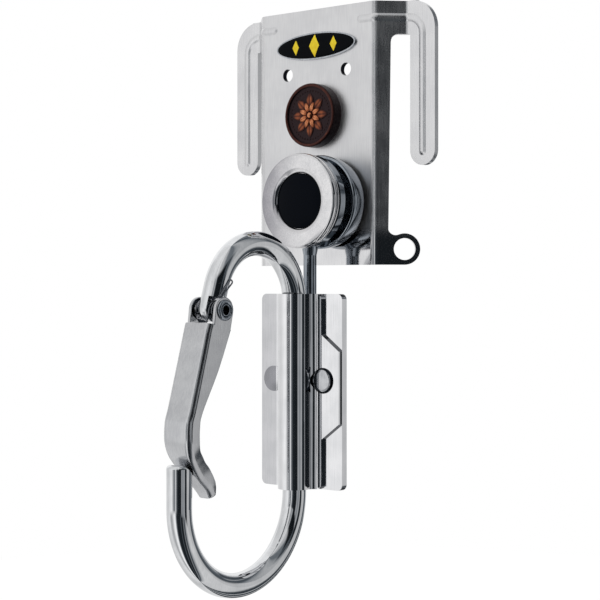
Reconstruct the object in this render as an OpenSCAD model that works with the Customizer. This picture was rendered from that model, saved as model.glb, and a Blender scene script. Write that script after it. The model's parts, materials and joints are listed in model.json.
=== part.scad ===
// Carabiner tool hanger for a work belt: a bent belt plate with two fingers that hook down behind
// the belt, a drum on its face, and a gated rod carabiner that swings from the drum on a shank.
// Millimetres. X runs along the plate, Y runs back from its face, Z is up.
// The origin is where the belt's top edge bears, midway through the belt and midway along it.

/* [Belt plate] */
// Width of the flat face between its two bends
face_w = 47; // [40:1:70]
// Height of the plate
plate_h = 89; // [80:1:120]
// Thickness of the plate's sheet
sheet = 2; // [1:0.25:3]
// Inside radius of every bend in the plate
bend_r = 1.5; // [1:0.25:3]
// Angle through which each side is bent back
bend_angle = 45; // [35:1:60]
// Room for the belt between the face's back and the fingers
belt_gap = 6; // [5:0.5:12]
// Height of the arm that carries each finger
arm_h = 11.2; // [8:0.2:16]
// Radius of the arm's outer top corner
arm_corner_r = 9.7; // [4:0.1:10]
// Width of a finger
finger_w = 10.1; // [8:0.1:14]
// How far a finger reaches down from the belt's top edge
finger_drop = 44.4; // [30:0.2:60]
// Width of the side flange just below the arm
flange_w = 4.4; // [3.6:0.1:5]
// Width of the side flange at the plate's bottom
flange_low_w = 3.4; // [2.5:0.1:3.5]
// How far the slot is cut past the second bend
slot_past_bend = 0.7; // [0.4:0.1:1.5]
// Radius of the slot's inner corner
slot_corner_r = 2.6; // [1:0.1:3]
// Radius of the pressed bead's rounded crown
bead_r = 2.6; // [2:0.1:3]
// Height of the pressed bead above the sheet
bead_proud = 0.4; // [0.2:0.05:0.6]
// Length of bead that runs onto the face
bead_on_face = 4.2; // [2:0.1:6]
// Distance from the end of the bead to the end of the finger
bead_end_gap = 4.6; // [3:0.1:8]

/* [Lug] */
// Diameter of the eye in the lug
lug_bore_d = 7.4; // [5:0.1:9]
// Width of the metal round the eye
lug_wall = 1.6; // [1.2:0.1:3]
// Distance of the eye from the bend, along the flange
lug_reach = 9.1; // [8:0.1:12]

/* [Screw holes] */
// Diameter of the two holes in the face
screw_hole_d = 4.5; // [3:0.1:6]
// Distance between the two holes
screw_hole_gap = 26; // [24:0.5:30]
// Distance from the plate's top to the holes
screw_hole_drop = 22; // [20:0.5:24]

/* [Label] */
// Length of the oval label plate
label_l = 35; // [28:0.5:38]
// Height of the oval label plate
label_h = 9.4; // [8:0.1:11]
// Thickness of the label plate
label_t = 0.7; // [0.5:0.1:1.2]
// Width of the bright rim round the enamel
label_rim = 0.5; // [0.3:0.05:1]
// Height of the enamel above the label plate
enamel_proud = 0.5; // [0.3:0.05:0.8]
// Height of the raised marks above the enamel
mark_proud = 0.15; // [0.1:0.05:0.3]
// Distance from the plate's top to the middle of the label
label_drop = 12.9; // [11:0.1:14]

/* [Concho] */
// Diameter of the concho button
concho_d = 22; // [18:0.5:24]
// Thickness of the concho button
concho_t = 4.2; // [3:0.1:5]
// Width of its raised rim
concho_rim = 1.3; // [0.8:0.1:2]
// Depth of the ground inside the rim
concho_dish = 0.7; // [0.4:0.1:1]
// Distance from the plate's top to the middle of the concho
concho_drop = 37.2; // [36:0.1:38]
// Radius of the concho's screw post
post_r = 2; // [1.5:0.1:2.5]
// Radius of the screw head behind the plate
post_head_r = 4; // [3:0.1:5]
// Thickness of the screw head behind the plate
post_head_t = 0.8; // [0.6:0.1:1.2]
// Depth of the screw in the concho
post_depth = 2; // [1:0.1:2.5]

/* [Drum] */
// Diameter of the drum's two flanges
drum_d = 32; // [30:0.5:34]
// Distance of the drum's axis to the right of the plate's middle
drum_x = 6.8; // [0:0.1:7]
// Distance from the plate's top to the drum's axis
drum_drop = 67.6; // [66:0.1:70]
// Thickness of the backing washer between plate and drum
back_washer_t = 1.6; // [1:0.1:2.4]
// Diameter of the backing washer
back_washer_d = 24; // [22:0.5:28]
// Thickness of the rear flange
rear_flange_t = 6.2; // [5.8:0.1:6.4]
// Thickness of the spacer sleeve behind the eye
spacer_t = 3.7; // [3.5:0.1:4.1]
// Wall of the spacer sleeve
spacer_wall = 3; // [2:0.1:3.2]
// Diameter of the bush on which the eye turns
bush_d = 18; // [14:0.5:20]
// Thickness of the front disc
front_disc_t = 3.2; // [3:0.1:4]
// Radius of the rounded edge of the drum's flanges
drum_edge_r = 0.8; // [0.4:0.1:1.2]
// Width of the countersink round the black cap
recess_flare = 1.4; // [0.8:0.1:2]
// Diameter of the black cap
cap_d = 18.6; // [16:0.2:20]
// Depth of the cap's edge below the drum's face
cap_sink = 1.2; // [0.8:0.1:1.4]
// Height of the cap's dome
cap_dome = 0.9; // [0.5:0.1:1.1]
// Radius of the screw through the drum
drum_screw_r = 3; // [2.5:0.1:4]
// Radius of the screw's head
drum_head_r = 5.5; // [4.5:0.1:6.5]
// Thickness of the screw's head
drum_head_t = 0.8; // [0.6:0.1:0.9]
// Thickness of the recess floor that the head bears on
recess_floor_t = 1; // [0.8:0.1:1.2]
// Radius of the riveted washer behind the plate
rivet_washer_r = 6; // [5:0.1:8]
// Thickness of the riveted washer behind the plate
rivet_washer_t = 0.8; // [0.6:0.1:1.2]
// Radius of the screw's riveted end
rivet_end_r = 4; // [3.8:0.1:4.8]
// Height of the screw's riveted end
rivet_end_t = 0.6; // [0.4:0.1:1]

/* [Hanger] */
// Diameter of the hanger's eye
eye_d = 31.4; // [28:0.1:31.8]
// Thickness of the hanger's eye
eye_t = 3.2; // [2.6:0.1:4]
// Thickness of each friction washer beside the eye
eye_washer_t = 0.3; // [0.2:0.05:0.5]
// Diameter of the shank
shank_d = 4.5; // [3.5:0.1:5]
// Distance of the shank's axis in front of the plate's face
shank_y = 11.7; // [11.5:0.1:12.5]
// Radius of the shank where it flares into the eye
flare_r = 3.3; // [2.8:0.1:3.4]
// Height of that flare
flare_h = 5; // [3:0.1:6]
// Gap between the shank and the bracket's middle plate
shank_gap = 0.5; // [0.3:0.05:0.8]
// Length of the shank's bearing in the bracket
shank_bearing_l = 12; // [8:0.5:16]
// Radius of the collar at the shank's foot
collar_r = 3.6; // [3:0.1:4]
// Thickness of the collar
collar_t = 2.4; // [1.5:0.1:3]
// Thickness of the thrust washer on the collar
thrust_t = 0.6; // [0.4:0.1:1]

/* [Bracket] */
// Width of the bracket
bracket_w = 34; // [32:0.5:40]
// Height of the bracket
bracket_h = 65; // [60:0.5:70]
// Distance from the plate's bottom to the bracket's top
bracket_gap = 9.8; // [8.5:0.1:14]
// Thickness of each of the bracket's three sheets
bracket_t = 1.25; // [1:0.05:1.5]
// Wall of the cover's bulge over the rod
bulge_wall = 1.4; // [1.1:0.05:1.6]
// Radius of the bracket's corners
bracket_corner_r = 2; // [1:0.1:3]
// Fillet between the cover's bulge and its flanges
cover_fillet_r = 2.2; // [1:0.1:2.5]
// Width of the right flange at its narrow ends
flange_narrow_w = 9.2; // [8.8:0.1:10]
// Width of the right flange at its wide middle
flange_wide_w = 16.6; // [15:0.1:17]
// Distance from the bracket's top to the start of the step
step_top = 13.6; // [10:0.1:16]
// Height of each sloping step in the flange
step_slope = 5.4; // [3:0.1:8]
// Height of the wide middle
step_wide_h = 24; // [20:0.1:30]
// Radius of a rivet's head
rivet_head_r = 4.3; // [3.5:0.1:4.6]
// Height of a rivet's head
rivet_head_h = 0.9; // [0.5:0.1:1.2]
// Radius of a rivet's shank
rivet_r = 2; // [1.5:0.1:2.5]
// Distance from the bracket's top to the rivets
rivet_drop = 28.8; // [26:0.1:34]
// Distance of the left rivet from the spine
rivet_left = 11.6; // [11:0.1:12.5]
// Distance of the right rivet from the spine
rivet_right = 9.9; // [9.9:0.1:12]

/* [Carabiner] */
// Diameter of the carabiner's rod
rod_d = 8; // [7:0.1:8.2]
// Centre-to-centre radius of the upper bend
top_r = 19.5; // [18:0.1:22]
// Centre-to-centre radius of the lower bend
low_r = 27.4; // [25:0.1:30]
// Length of the straight spine between the bends
spine_l = 62.7; // [60:0.1:70]
// Height of the nose above the start of the lower bend
nose_l = 13.5; // [12:0.1:16]
// Distance from the plate's bottom down to the upper bend's centre
top_drop = 12.9; // [12:0.1:14]
// Radius of the nose's rounded edge
nose_edge_r = 1.3; // [0.8:0.1:1.6]
// Lean of the leg that carries the gate
leg_lean = 18; // [12:1:20]
// Distance from the upper bend's centre down to the pivot
pivot_drop = 1.8; // [1:0.1:3]
// Clearance round the rod in the bracket
rod_fit = 0.15; // [0.05:0.05:0.2]

/* [Gate] */
// Outer width of the gate's channel
gate_w = 11.8; // [11:0.1:13]
// Thickness of the gate's sheet
gate_t = 1.2; // [0.8:0.1:1.4]
// Radius of the ears round the pivot
ear_r = 4.1; // [4:0.1:5]
// Distance from the pivot down to the top edge of the web
web_drop = 3.7; // [3.4:0.1:5]
// Distance from the pivot forwards to the top edge of the web
web_ahead = 6.6; // [6.4:0.1:8]
// Outer radius of the channel's bends
gate_bend_r = 2; // [1.5:0.1:2.5]
// Gap between the closed gate and the nose
nose_gap = 0.3; // [0.2:0.05:0.5]
// Radius of the pivot rivet
pivot_r = 2; // [1.5:0.1:2.2]
// Bore of the pivot rivet
pivot_bore_r = 1.2; // [0.8:0.1:1.3]
// Radius of the pivot rivet's rolled heads
pivot_head_r = 3.4; // [2.8:0.1:3.8]
// Height of the pivot rivet's rolled heads
pivot_head_h = 0.8; // [0.6:0.1:1.2]
// Diameter of the spring's wire
wire_d = 0.5; // [0.4:0.05:0.5]
// Mean radius of the spring's coil
coil_r = 2.9; // [2.8:0.1:3.1]
// Turns in the spring's coil
coil_turns = 2; // [1:1:2]
// Distance between neighbouring turns
coil_pitch = 1.15; // [1:0.05:1.2]
// Length of the spring's hairpin leg
hairpin_l = 9.2; // [6:0.1:10]
// Distance between the hairpin's two strands
hairpin_w = 1.3; // [1:0.05:1.5]
// Length of the spring's leg along the gate's web
spring_leg_l = 9; // [6:0.5:12]
// Thickness of the washer between the rod's end and the far ear
far_washer_t = 0.8; // [0.6:0.1:1.2]

/* [Hidden] */
$fn = 96;

// Radial and axial clearance of turning pairs, overrun of every cut, overlap of fused shapes
run_fit = 0.05;
over = 1;
seam = 0.02;
dome_steps = 6;

// Plate: the face lies ahead of the belt, the fingers behind it
face_y = -(sheet + belt_gap / 2);
back_y = face_y + sheet;
finger_y = back_y + belt_gap;
plate_top = arm_h;
plate_bottom = plate_top - plate_h;
bend_out_r = bend_r + sheet;
flange_x = face_w / 2 + bend_out_r * sin(bend_angle);
flange_y = face_y + bend_out_r * (1 - cos(bend_angle));
arm_l = (finger_y - bend_r * (1 - cos(bend_angle)) - flange_y) / sin(bend_angle);
arm_end_x = flange_x + arm_l * cos(bend_angle);
arm_end_y = flange_y + arm_l * sin(bend_angle);
second_bend_x = arm_end_x + bend_r * sin(bend_angle);
finger_x = second_bend_x + slot_past_bend;
finger_end_x = finger_x + finger_w;
finger_mid_x = finger_x + finger_w / 2;
lug_r = lug_bore_d / 2 + lug_wall;
lug_z = plate_bottom + lug_r;
lug_fillet_r = lug_r / 2;
bead_z = arm_h / 2;
bead_sink = bead_r - bead_proud;
bead_root = sheet / 4;
bead_turn_r = finger_mid_x - second_bend_x;
bead_bottom = bead_end_gap - finger_drop;
screw_hole_z = plate_top - screw_hole_drop;

// Label and concho
label_z = plate_top - label_drop;
label_y = face_y - label_t;
enamel_seat = label_t / 2;
dome_shares = [0.97, 0.94];
mark_place_shares = [-0.24, 0, 0.24];
mark_size_shares = [0.62, 0.95, 0.62];
mark_slim_share = 0.55;
concho_z = plate_top - concho_drop;
concho_y = face_y - concho_t;
concho_edge_r = concho_rim / 2;
ground_r = concho_d / 2 - concho_rim - concho_dish / 2;
rosette_points = 8;
rosette_r = ground_r - concho_dish / 2;
rosette_rise_share = 1.2;
rosette_h = concho_dish * rosette_rise_share;
rosette_waist_share = 0.46;
rosette_top_share = 0.25;
rosette_boss_share = 0.24;
post_fit = 4 * run_fit;

// Drum: the stack runs forwards from the plate's face
drum_z = plate_top - drum_drop;
rear_flange_y = face_y - back_washer_t - rear_flange_t;
spacer_y = rear_flange_y - spacer_t;
rear_washer_y = spacer_y - eye_washer_t;
eye_y = rear_washer_y - run_fit - eye_t;
front_washer_y = eye_y - run_fit - eye_washer_t;
drum_face_y = front_washer_y - front_disc_t;
recess_floor_y = front_washer_y - recess_floor_t;
cap_edge_y = drum_face_y + cap_sink;
cap_r = cap_d / 2;
head_room = 8 * run_fit;
spacer_r = bush_d / 2 + spacer_wall;
eye_washer_r = spacer_r + eye_washer_t;
eye_edge = eye_t / 8;

// Shank and bracket: the stack runs forwards from the shank's axis
shank_y_mid = face_y - shank_y;
shank_r = shank_d / 2;
bracket_top = plate_bottom - bracket_gap;
bracket_bottom = bracket_top - bracket_h;
middle_back_y = shank_y_mid - shank_r - shank_gap;
middle_y = middle_back_y - bracket_t;
front_cover_y = middle_y - bracket_t;
rear_cover_back_y = middle_back_y + bracket_t;
rod_r = rod_d / 2;
spine_y = middle_y - rod_r - rod_fit;
bulge_in_r = rod_r + rod_fit;
bulge_out_r = bulge_in_r + bulge_wall;
channel_r = shank_r + run_fit;
pocket_r = collar_r + 4 * run_fit;
pocket_top = bracket_top - shank_bearing_l;
thrust_top = pocket_top - run_fit;
collar_bottom = thrust_top - thrust_t - collar_t;
pocket_bottom = collar_bottom - 8 * run_fit;
eye_bottom = drum_z - eye_d / 2;
shank_top = drum_z - eye_washer_r - 4 * run_fit;
rivet_z = bracket_top - rivet_drop;
rivet_xs = [-rivet_left, rivet_right];

// Carabiner ring, in the plane of the drum's axis
top_z = plate_bottom - top_drop;
low_z = top_z - spine_l;
top_mid_y = spine_y - top_r;
low_mid_y = spine_y - low_r;
nose_y = spine_y - 2 * low_r;
nose_top = low_z + nose_l;
pivot_z = top_z - pivot_drop;
leg_fall = top_r * sin(leg_lean) + pivot_drop;
pivot_y = top_mid_y - top_r * cos(leg_lean) - leg_fall * tan(leg_lean);

// Gate: stations down the web's outer face. Each has its share of the way from the web's top to
// the nose, its share of the web's lean, and the channel's depth and width there as shares of the
// gate's width.
web_z = pivot_z - web_drop;
web_y = pivot_y - web_ahead;
web_reach = web_z - nose_top;
web_lean = web_y - nose_y - rod_r / 10;
gate_shares = [
    [0, 0, 0.83, 1], [0.3, 0.53, 0.67, 1], [0.59, 1.05, 0.41, 1], [0.7, 1.27, 0.42, 1],
    [0.84, 1.3, 0.42, 1], [0.94, 1.15, 0.42, 0.92], [1.01, 0.88, 0.44, 0.82],
    [1.07, 0.58, 0.44, 0.74], [1.13, 0.24, 0.46, 0.67], [1.2, -0.22, 0.36, 0.64],
    [1.265, -0.5, 0.19, 0.54]
];
gate_steps = 3;
bend_steps = 4;
latch_station = 7;
tail_station = 8;
nose_flat_share = 0.38;
ear_in_x = gate_w / 2 - gate_t;
near_flat_x = rod_r / 3;
far_flat_x = ear_in_x - far_washer_t - 2 * run_fit;
far_washer_r = coil_r + wire_d / 2;
flat_reach = far_washer_r + 8 * run_fit;

// Gate spring: a leg on the web, the coil round the rivet, then a hairpin on the rod. The coil's
// two ends are given by their angles round the rivet.
wire_r = wire_d / 2;
wire_sides = 6;
coil_rings = 8;
coil_start = 164;
coil_end = 132;
hairpin_x = rod_r + wire_r + 2 * run_fit;
coil_sweep = 360 * coil_turns + coil_start - coil_end;
coil_rise = coil_pitch * coil_sweep / 360;
loop_steps = 4;
web_leg_share = 0.75;
wire_skip = 4;

// Unit vector at angle a in the plane of the carabiner
function ray(a) = [0, cos(a), sin(a)];
pivot = [0, pivot_y, pivot_z];
hairpin_dir = ray(coil_end - 90);
hairpin_side = ray(coil_end);
web_leg_dir = ray(coil_start + 90);
coil_count = ceil(coil_sweep * coil_rings / 360);
coil_path = [
    for (i = [0:coil_count])
        let (t = i / coil_count)
        pivot + coil_r * ray(coil_start - coil_sweep * t) + [hairpin_x - coil_rise * (1 - t), 0, 0]
];
hairpin_base = coil_path[coil_count];
hairpin_mid = hairpin_base + hairpin_side * hairpin_w / 2;
loop_path = [
    for (i = [0:loop_steps])
        let (a = 180 * i / loop_steps)
        hairpin_mid + hairpin_dir * (hairpin_l + sin(a) * hairpin_w / 2)
            - hairpin_side * cos(a) * hairpin_w / 2
];
spring_path = concat(
    [
        coil_path[0] + web_leg_dir * spring_leg_l - ray(coil_start + 180) * wire_d,
        coil_path[0] + web_leg_dir * spring_leg_l * web_leg_share
    ],
    coil_path,
    [hairpin_base + hairpin_dir * hairpin_l / 2],
    loop_path,
    [hairpin_mid + hairpin_side * hairpin_w / 2 + hairpin_dir * hairpin_l / 4]
);

// Points a wire's diameter apart along a path, used to measure the wire's gap to itself
function finely(path) = [
    for (i = [0:len(path) - 2])
        let (n = max(1, round(norm(path[i + 1] - path[i]) / wire_d)))
        for (k = [0:n - 1]) path[i] + (path[i + 1] - path[i]) * k / n
];
wire_points = finely(spring_path);
wire_gap = min([
    for (i = [0:len(wire_points) - 1 - wire_skip], j = [i + wire_skip:len(wire_points) - 1])
        norm(wire_points[i] - wire_points[j])
]) - wire_d;
echo(least_gap_in_gate_spring = wire_gap);

// A point on the smooth curve through a list of stations, t of the way from b to c
function between(a, b, c, d, t) =
    (2 * b + (c - a) * t + (2 * a - 5 * b + 4 * c - d) * t * t + (3 * b - a - 3 * c + d) * t * t * t) / 2;
function smooth(list, steps) = concat(
    [
        for (i = [0:len(list) - 2], k = [0:steps - 1])
            between(list[max(i - 1, 0)], list[i], list[i + 1], list[min(i + 2, len(list) - 1)], k / steps)
    ],
    [list[len(list) - 1]]
);

// The web's outer face at a station, and the gate's curve, as y, z, depth and half width
function station(s) =
    [web_y - s[1] * web_lean, web_z - s[0] * web_reach, s[2] * gate_w, s[3] * gate_w / 2];
gate_curve = smooth([for (s = gate_shares) station(s)], gate_steps);
function flat_pair(p) = [p[0], p[1]];
function gate_tangent(i) =
    let (d = flat_pair(gate_curve[min(i + 1, len(gate_curve) - 1)] - gate_curve[max(i - 1, 0)]))
    d / norm(d);

// The channel's section, across and in from the web's face, for its half width and depth
function arc(x, r, inset, from) = [
    for (i = [0:bend_steps])
        let (a = from + 90 * i / bend_steps)
        [x + (r - inset) * cos(a), r + (r - inset) * sin(a)]
];
function wall_line(half, depth, inset) = concat(
    [[inset - half, depth]],
    arc(gate_bend_r - half, gate_bend_r, inset, 180),
    arc(half - gate_bend_r, gate_bend_r, inset, 270),
    [[half - inset, depth]]
);
function reversed(list) = [for (i = [len(list) - 1:-1:0]) list[i]];
function channel_section(half, depth) =
    concat(wall_line(half, depth, 0), reversed(wall_line(half, depth, gate_t)));
function gate_ring(i) =
    let (t = gate_tangent(i), c = gate_curve[i])
    [for (p = channel_section(c[3], c[2])) [p[0], c[0] - p[1] * t[1], c[1] + p[1] * t[0]]];

// Where a line from p touches the circle of radius r about c, on one side or the other
function touch(p, c, r, side) =
    let (v = p - c, a = atan2(v[1], v[0]) + side * acos(r / norm(v)))
    c + r * [cos(a), sin(a)];

// A skin of rings with an even number of points. Each end is closed by strips across the ring.
module skin(rings) {
    n = len(rings[0]);
    top = n * (len(rings) - 1);
    sides = [
        for (i = [0:len(rings) - 2], j = [0:n - 1])
            let (a = i * n + j, b = i * n + (j + 1) % n)
            each [[a, b, b + n], [a, b + n, a + n]]
    ];
    ends = [
        for (j = [0:n / 2 - 2])
            let (k = n - 1 - j)
            each [
                [j, k, k - 1], [j, k - 1, j + 1],
                [top + j, top + k - 1, top + k], [top + j, top + j + 1, top + k - 1]
            ]
    ];
    polyhedron([for (r = rings) each r], concat(sides, ends), convexity = 10);
}

// A round wire along a path that never runs along X
module wire(path) {
    last = len(path) - 1;
    skin([
        for (i = [0:last])
            let (
                d = path[min(i + 1, last)] - path[max(i - 1, 0)],
                u = cross([1, 0, 0], d) / norm(cross([1, 0, 0], d)),
                v = cross(u, d) / norm(cross(u, d))
            )
            [
                for (k = [0:wire_sides - 1])
                    let (a = 360 * k / wire_sides)
                    path[i] + wire_r * (u * cos(a) + v * sin(a))
            ]
    ]);
}

// A turned button of radius r: a straight edge of height h under a dome
module domed(r, h, dome) {
    ball_r = (r * r + dome * dome) / (2 * dome);
    rotate_extrude() polygon(concat(
        [[0, 0], [r, 0]],
        [
            for (i = [dome_steps:-1:0])
                let (x = r * i / dome_steps)
                [x, h + dome - ball_r + sqrt(ball_r * ball_r - x * x)]
        ]
    ));
}

// Draws an outline given in X and Z as a sheet of thickness t that starts at y and runs back
module sheet_at(y, t) {
    translate([0, y + t, 0]) rotate([90, 0, 0]) linear_extrude(t) children();
}

// Turns a shape drawn in X and Y, with its height along Z, so that it lies in Y, Z and X
module side_on(x) {
    translate([x, 0, 0]) rotate([90, 0, 90]) children();
}

// A disc about an axis along Y that starts at y and runs back by t
module disc(x, y, z, r, t) {
    translate([x, y, z]) rotate([-90, 0, 0]) cylinder(r = r, h = t);
}

// A disc with a bore about the drum's axis
module drum_ring(y, t, r, bore) {
    difference() {
        disc(drum_x, y, drum_z, r, t);
        disc(drum_x, y - over, drum_z, bore, t + 2 * over);
    }
}

// A disc about the drum's axis with both edges rounded
module soft_disc(y, t, r) {
    translate([drum_x, y, drum_z]) rotate([-90, 0, 0]) rotate_extrude() {
        square([r - drum_edge_r, t]);
        translate([0, drum_edge_r]) square([r, t - 2 * drum_edge_r]);
        translate([r - drum_edge_r, drum_edge_r]) circle(r = drum_edge_r);
        translate([r - drum_edge_r, t - drum_edge_r]) circle(r = drum_edge_r);
    }
}

// A rectangle with round corners, from its lower left corner
module soft_rect(w, h, r) {
    translate([r, 0]) square([w - 2 * r, h]);
    translate([0, r]) square([w, h - 2 * r]);
    for (x = [r, w - r], y = [r, h - r]) translate([x, y]) circle(r = r);
}

module oval(l, h) {
    polygon([for (i = [0:$fn - 1]) [l / 2 * cos(360 * i / $fn), h / 2 * sin(360 * i / $fn)]]);
}

// The bead's section across the sheet, with its crown towards +Y
module bead_section() {
    intersection() {
        translate([0, -bead_sink]) circle(r = bead_r);
        translate([-bead_r, -bead_root]) square([2 * bead_r, bead_root + bead_proud]);
    }
}

// The bead's round end, on a sheet whose front lies at y
module bead_end(x, y, z) {
    intersection() {
        translate([x, y + bead_sink, z]) sphere(r = bead_r);
        translate([x - bead_r, y - bead_proud, z - bead_r])
            cube([2 * bead_r, bead_proud + bead_root, 2 * bead_r]);
    }
}

module bead_run(l) {
    rotate([90, 0, 90]) linear_extrude(l) rotate(90) bead_section();
}

module on_flange() {
    translate([flange_x, flange_y, 0]) rotate([0, 0, bend_angle]) children();
}

module at_first_bend() {
    translate([face_w / 2, face_y + bend_out_r, 0]) rotate([0, 0, -90]) children();
}

module at_second_bend() {
    translate([arm_end_x + bend_r * sin(bend_angle), arm_end_y - bend_r * cos(bend_angle), 0])
        rotate([0, 0, 90]) children();
}

// One side of the plate: bend, flange, arm, second bend, finger and bead
module plate_side() {
    at_first_bend() translate([0, 0, plate_bottom]) rotate_extrude(angle = bend_angle)
        translate([bend_r, 0]) square([sheet, plate_h]);
    on_flange() sheet_at(0, sheet) {
        square([arm_l + seam, arm_h]);
        polygon([
            [-seam, arm_h], [-seam, plate_bottom], [flange_low_w, plate_bottom], [flange_w, 0],
            [flange_w, arm_h]
        ]);
        difference() {
            translate([flange_w - seam, -slot_corner_r]) square(slot_corner_r + seam);
            translate([flange_w + slot_corner_r, -slot_corner_r]) circle(r = slot_corner_r);
        }
    }
    at_second_bend() rotate_extrude(angle = bend_angle) translate([bend_r, 0]) square([sheet, arm_h]);
    sheet_at(finger_y, sheet) finger_outline();
    plate_bead();
}

module finger_outline() {
    translate([second_bend_x - seam, 0]) square([finger_x - second_bend_x + arm_corner_r / 4, arm_h]);
    translate([finger_x, finger_w / 2 - finger_drop])
        square([finger_w, finger_drop + arm_h - arm_corner_r - finger_w / 2]);
    translate([finger_x, 0]) square([finger_w - arm_corner_r, arm_h]);
    intersection() {
        translate([finger_end_x - arm_corner_r, arm_h - arm_corner_r]) circle(r = arm_corner_r);
        translate([finger_end_x - arm_corner_r, arm_h - arm_corner_r]) square(arm_corner_r);
    }
    translate([finger_mid_x, finger_w / 2 - finger_drop]) circle(r = finger_w / 2);
}

module plate_bead() {
    bead_end(face_w / 2 - bead_on_face, face_y, bead_z);
    translate([face_w / 2 - bead_on_face, face_y, bead_z]) bead_run(bead_on_face);
    at_first_bend() translate([0, 0, bead_z]) rotate_extrude(angle = bend_angle)
        translate([bend_out_r, 0]) rotate(-90) bead_section();
    on_flange() translate([0, 0, bead_z]) bead_run(arm_l);
    at_second_bend() translate([0, 0, bead_z]) rotate_extrude(angle = bend_angle)
        translate([bend_r, 0]) rotate(90) bead_section();
    translate([second_bend_x, finger_y, bead_z - bead_turn_r]) rotate([90, 0, 0])
        rotate_extrude(angle = 90) translate([bead_turn_r, 0]) bead_section();
    translate([finger_mid_x, finger_y, bead_bottom]) linear_extrude(bead_z - bead_turn_r - bead_bottom)
        rotate(180) bead_section();
    bead_end(finger_mid_x, finger_y, bead_bottom);
}

// The lug's outline, along the flange and up, with its fillet to the flange's edge
module lug_outline() {
    fillet_x = flange_low_w + lug_fillet_r;
    fillet_z = lug_z + sqrt(pow(lug_r + lug_fillet_r, 2) - pow(lug_reach - fillet_x, 2));
    translate([lug_reach, lug_z]) circle(r = lug_r);
    translate([0, plate_bottom]) square([lug_reach, lug_r]);
    difference() {
        polygon([[0, lug_z], [0, fillet_z], [fillet_x, fillet_z], [lug_reach, lug_z]]);
        translate([fillet_x, fillet_z]) circle(r = lug_fillet_r);
    }
}

module belt_plate() {
    color("gainsboro") difference() {
        union() {
            sheet_at(face_y, sheet) translate([-face_w / 2 - seam, plate_bottom])
                square([face_w + 2 * seam, plate_h]);
            plate_side();
            mirror([1, 0, 0]) plate_side();
            on_flange() sheet_at(0, sheet) lug_outline();
        }
        on_flange() disc(lug_reach, -over, lug_z, lug_bore_d / 2, sheet + 2 * over);
        for (x = [-screw_hole_gap / 2, screw_hole_gap / 2])
            disc(x, face_y - over, screw_hole_z, screw_hole_d / 2, sheet + 2 * over);
        disc(0, face_y - over, concho_z, post_r + post_fit, sheet + 2 * over);
        disc(drum_x, face_y - over, drum_z, drum_screw_r + run_fit, sheet + 2 * over);
    }
}

module label_plate() {
    color("silver") difference() {
        translate([0, 0, label_z]) sheet_at(label_y, label_t) oval(label_l, label_h);
        translate([0, 0, label_z]) sheet_at(label_y - over, over + label_t - enamel_seat)
            oval(label_l - 2 * label_rim, label_h - 2 * label_rim);
    }
}

// The enamel's dome, raised by lift
module enamel_dome(lift) {
    translate([0, label_y, label_z]) scale([
        label_l / 2 * dome_shares[0] - label_rim,
        enamel_proud + lift,
        label_h / 2 * dome_shares[1] - label_rim
    ])
        sphere(r = 1, $fn = 48);
}

module label_enamel() {
    color("midnightblue") {
        difference() {
            enamel_dome(0);
            translate([-label_l / 2, label_y, label_z - label_h / 2]) cube([label_l, label_h, label_h]);
            mark_prisms();
        }
        translate([0, 0, label_z]) sheet_at(label_y, label_t - enamel_seat)
            oval(label_l - 2 * label_rim, label_h - 2 * label_rim);
    }
}

module label_marks() {
    color("gold") intersection() {
        enamel_dome(mark_proud);
        mark_prisms();
    }
}

module mark_prisms() {
    half = label_h / 2 - label_rim;
    translate([0, 0, label_z]) sheet_at(label_y - label_h, label_h) for (i = [0:2])
        translate([mark_place_shares[i] * label_l, 0]) lozenge(half * mark_size_shares[i]);
}

module lozenge(r) {
    polygon([[0, r], [r * mark_slim_share, 0], [0, -r], [-r * mark_slim_share, 0]]);
}

module concho_body() {
    r = concho_d / 2;
    color("saddlebrown") difference() {
        translate([0, concho_y, concho_z]) rotate([-90, 0, 0]) rotate_extrude() {
            translate([0, concho_dish]) square([r - concho_edge_r, concho_t - concho_dish]);
            translate([0, concho_edge_r]) difference() {
                square([r, concho_t - concho_edge_r]);
                square([r - concho_edge_r, concho_dish]);
            }
            translate([r - concho_edge_r, concho_edge_r]) circle(r = concho_edge_r);
        }
        disc(0, face_y - post_depth - run_fit, concho_z, post_r + run_fit, post_depth + run_fit + over);
    }
}

module concho_rosette() {
    color("peru") translate([0, concho_y + concho_dish, concho_z]) rotate([90, 0, 0]) {
        linear_extrude(rosette_h, scale = rosette_top_share) polygon([
            for (i = [0:2 * rosette_points - 1])
                let (a = 180 * i / rosette_points, r = rosette_r * (i % 2 == 0 ? 1 : rosette_waist_share))
                r * [sin(a), cos(a)]
        ]);
        cylinder(r = rosette_r * rosette_boss_share, h = rosette_h);
    }
}

module concho_screw() {
    color("gray") {
        disc(0, back_y, concho_z, post_head_r, post_head_t);
        disc(0, face_y - post_depth, concho_z, post_r, sheet + post_depth + seam);
    }
}

module drum_back_washer() {
    color("dimgray")
        drum_ring(face_y - back_washer_t, back_washer_t, back_washer_d / 2, drum_screw_r + run_fit);
}

module drum_rear_flange() {
    color("silver") difference() {
        soft_disc(rear_flange_y, rear_flange_t, drum_d / 2);
        disc(drum_x, rear_flange_y - over, drum_z, drum_screw_r + run_fit, rear_flange_t + 2 * over);
    }
}

module drum_spacer() {
    color("dimgray") drum_ring(spacer_y, spacer_t, spacer_r, bush_d / 2 + run_fit);
}

module drum_bush() {
    color("goldenrod")
        drum_ring(front_washer_y, rear_flange_y - front_washer_y, bush_d / 2, drum_screw_r + run_fit);
}

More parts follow.
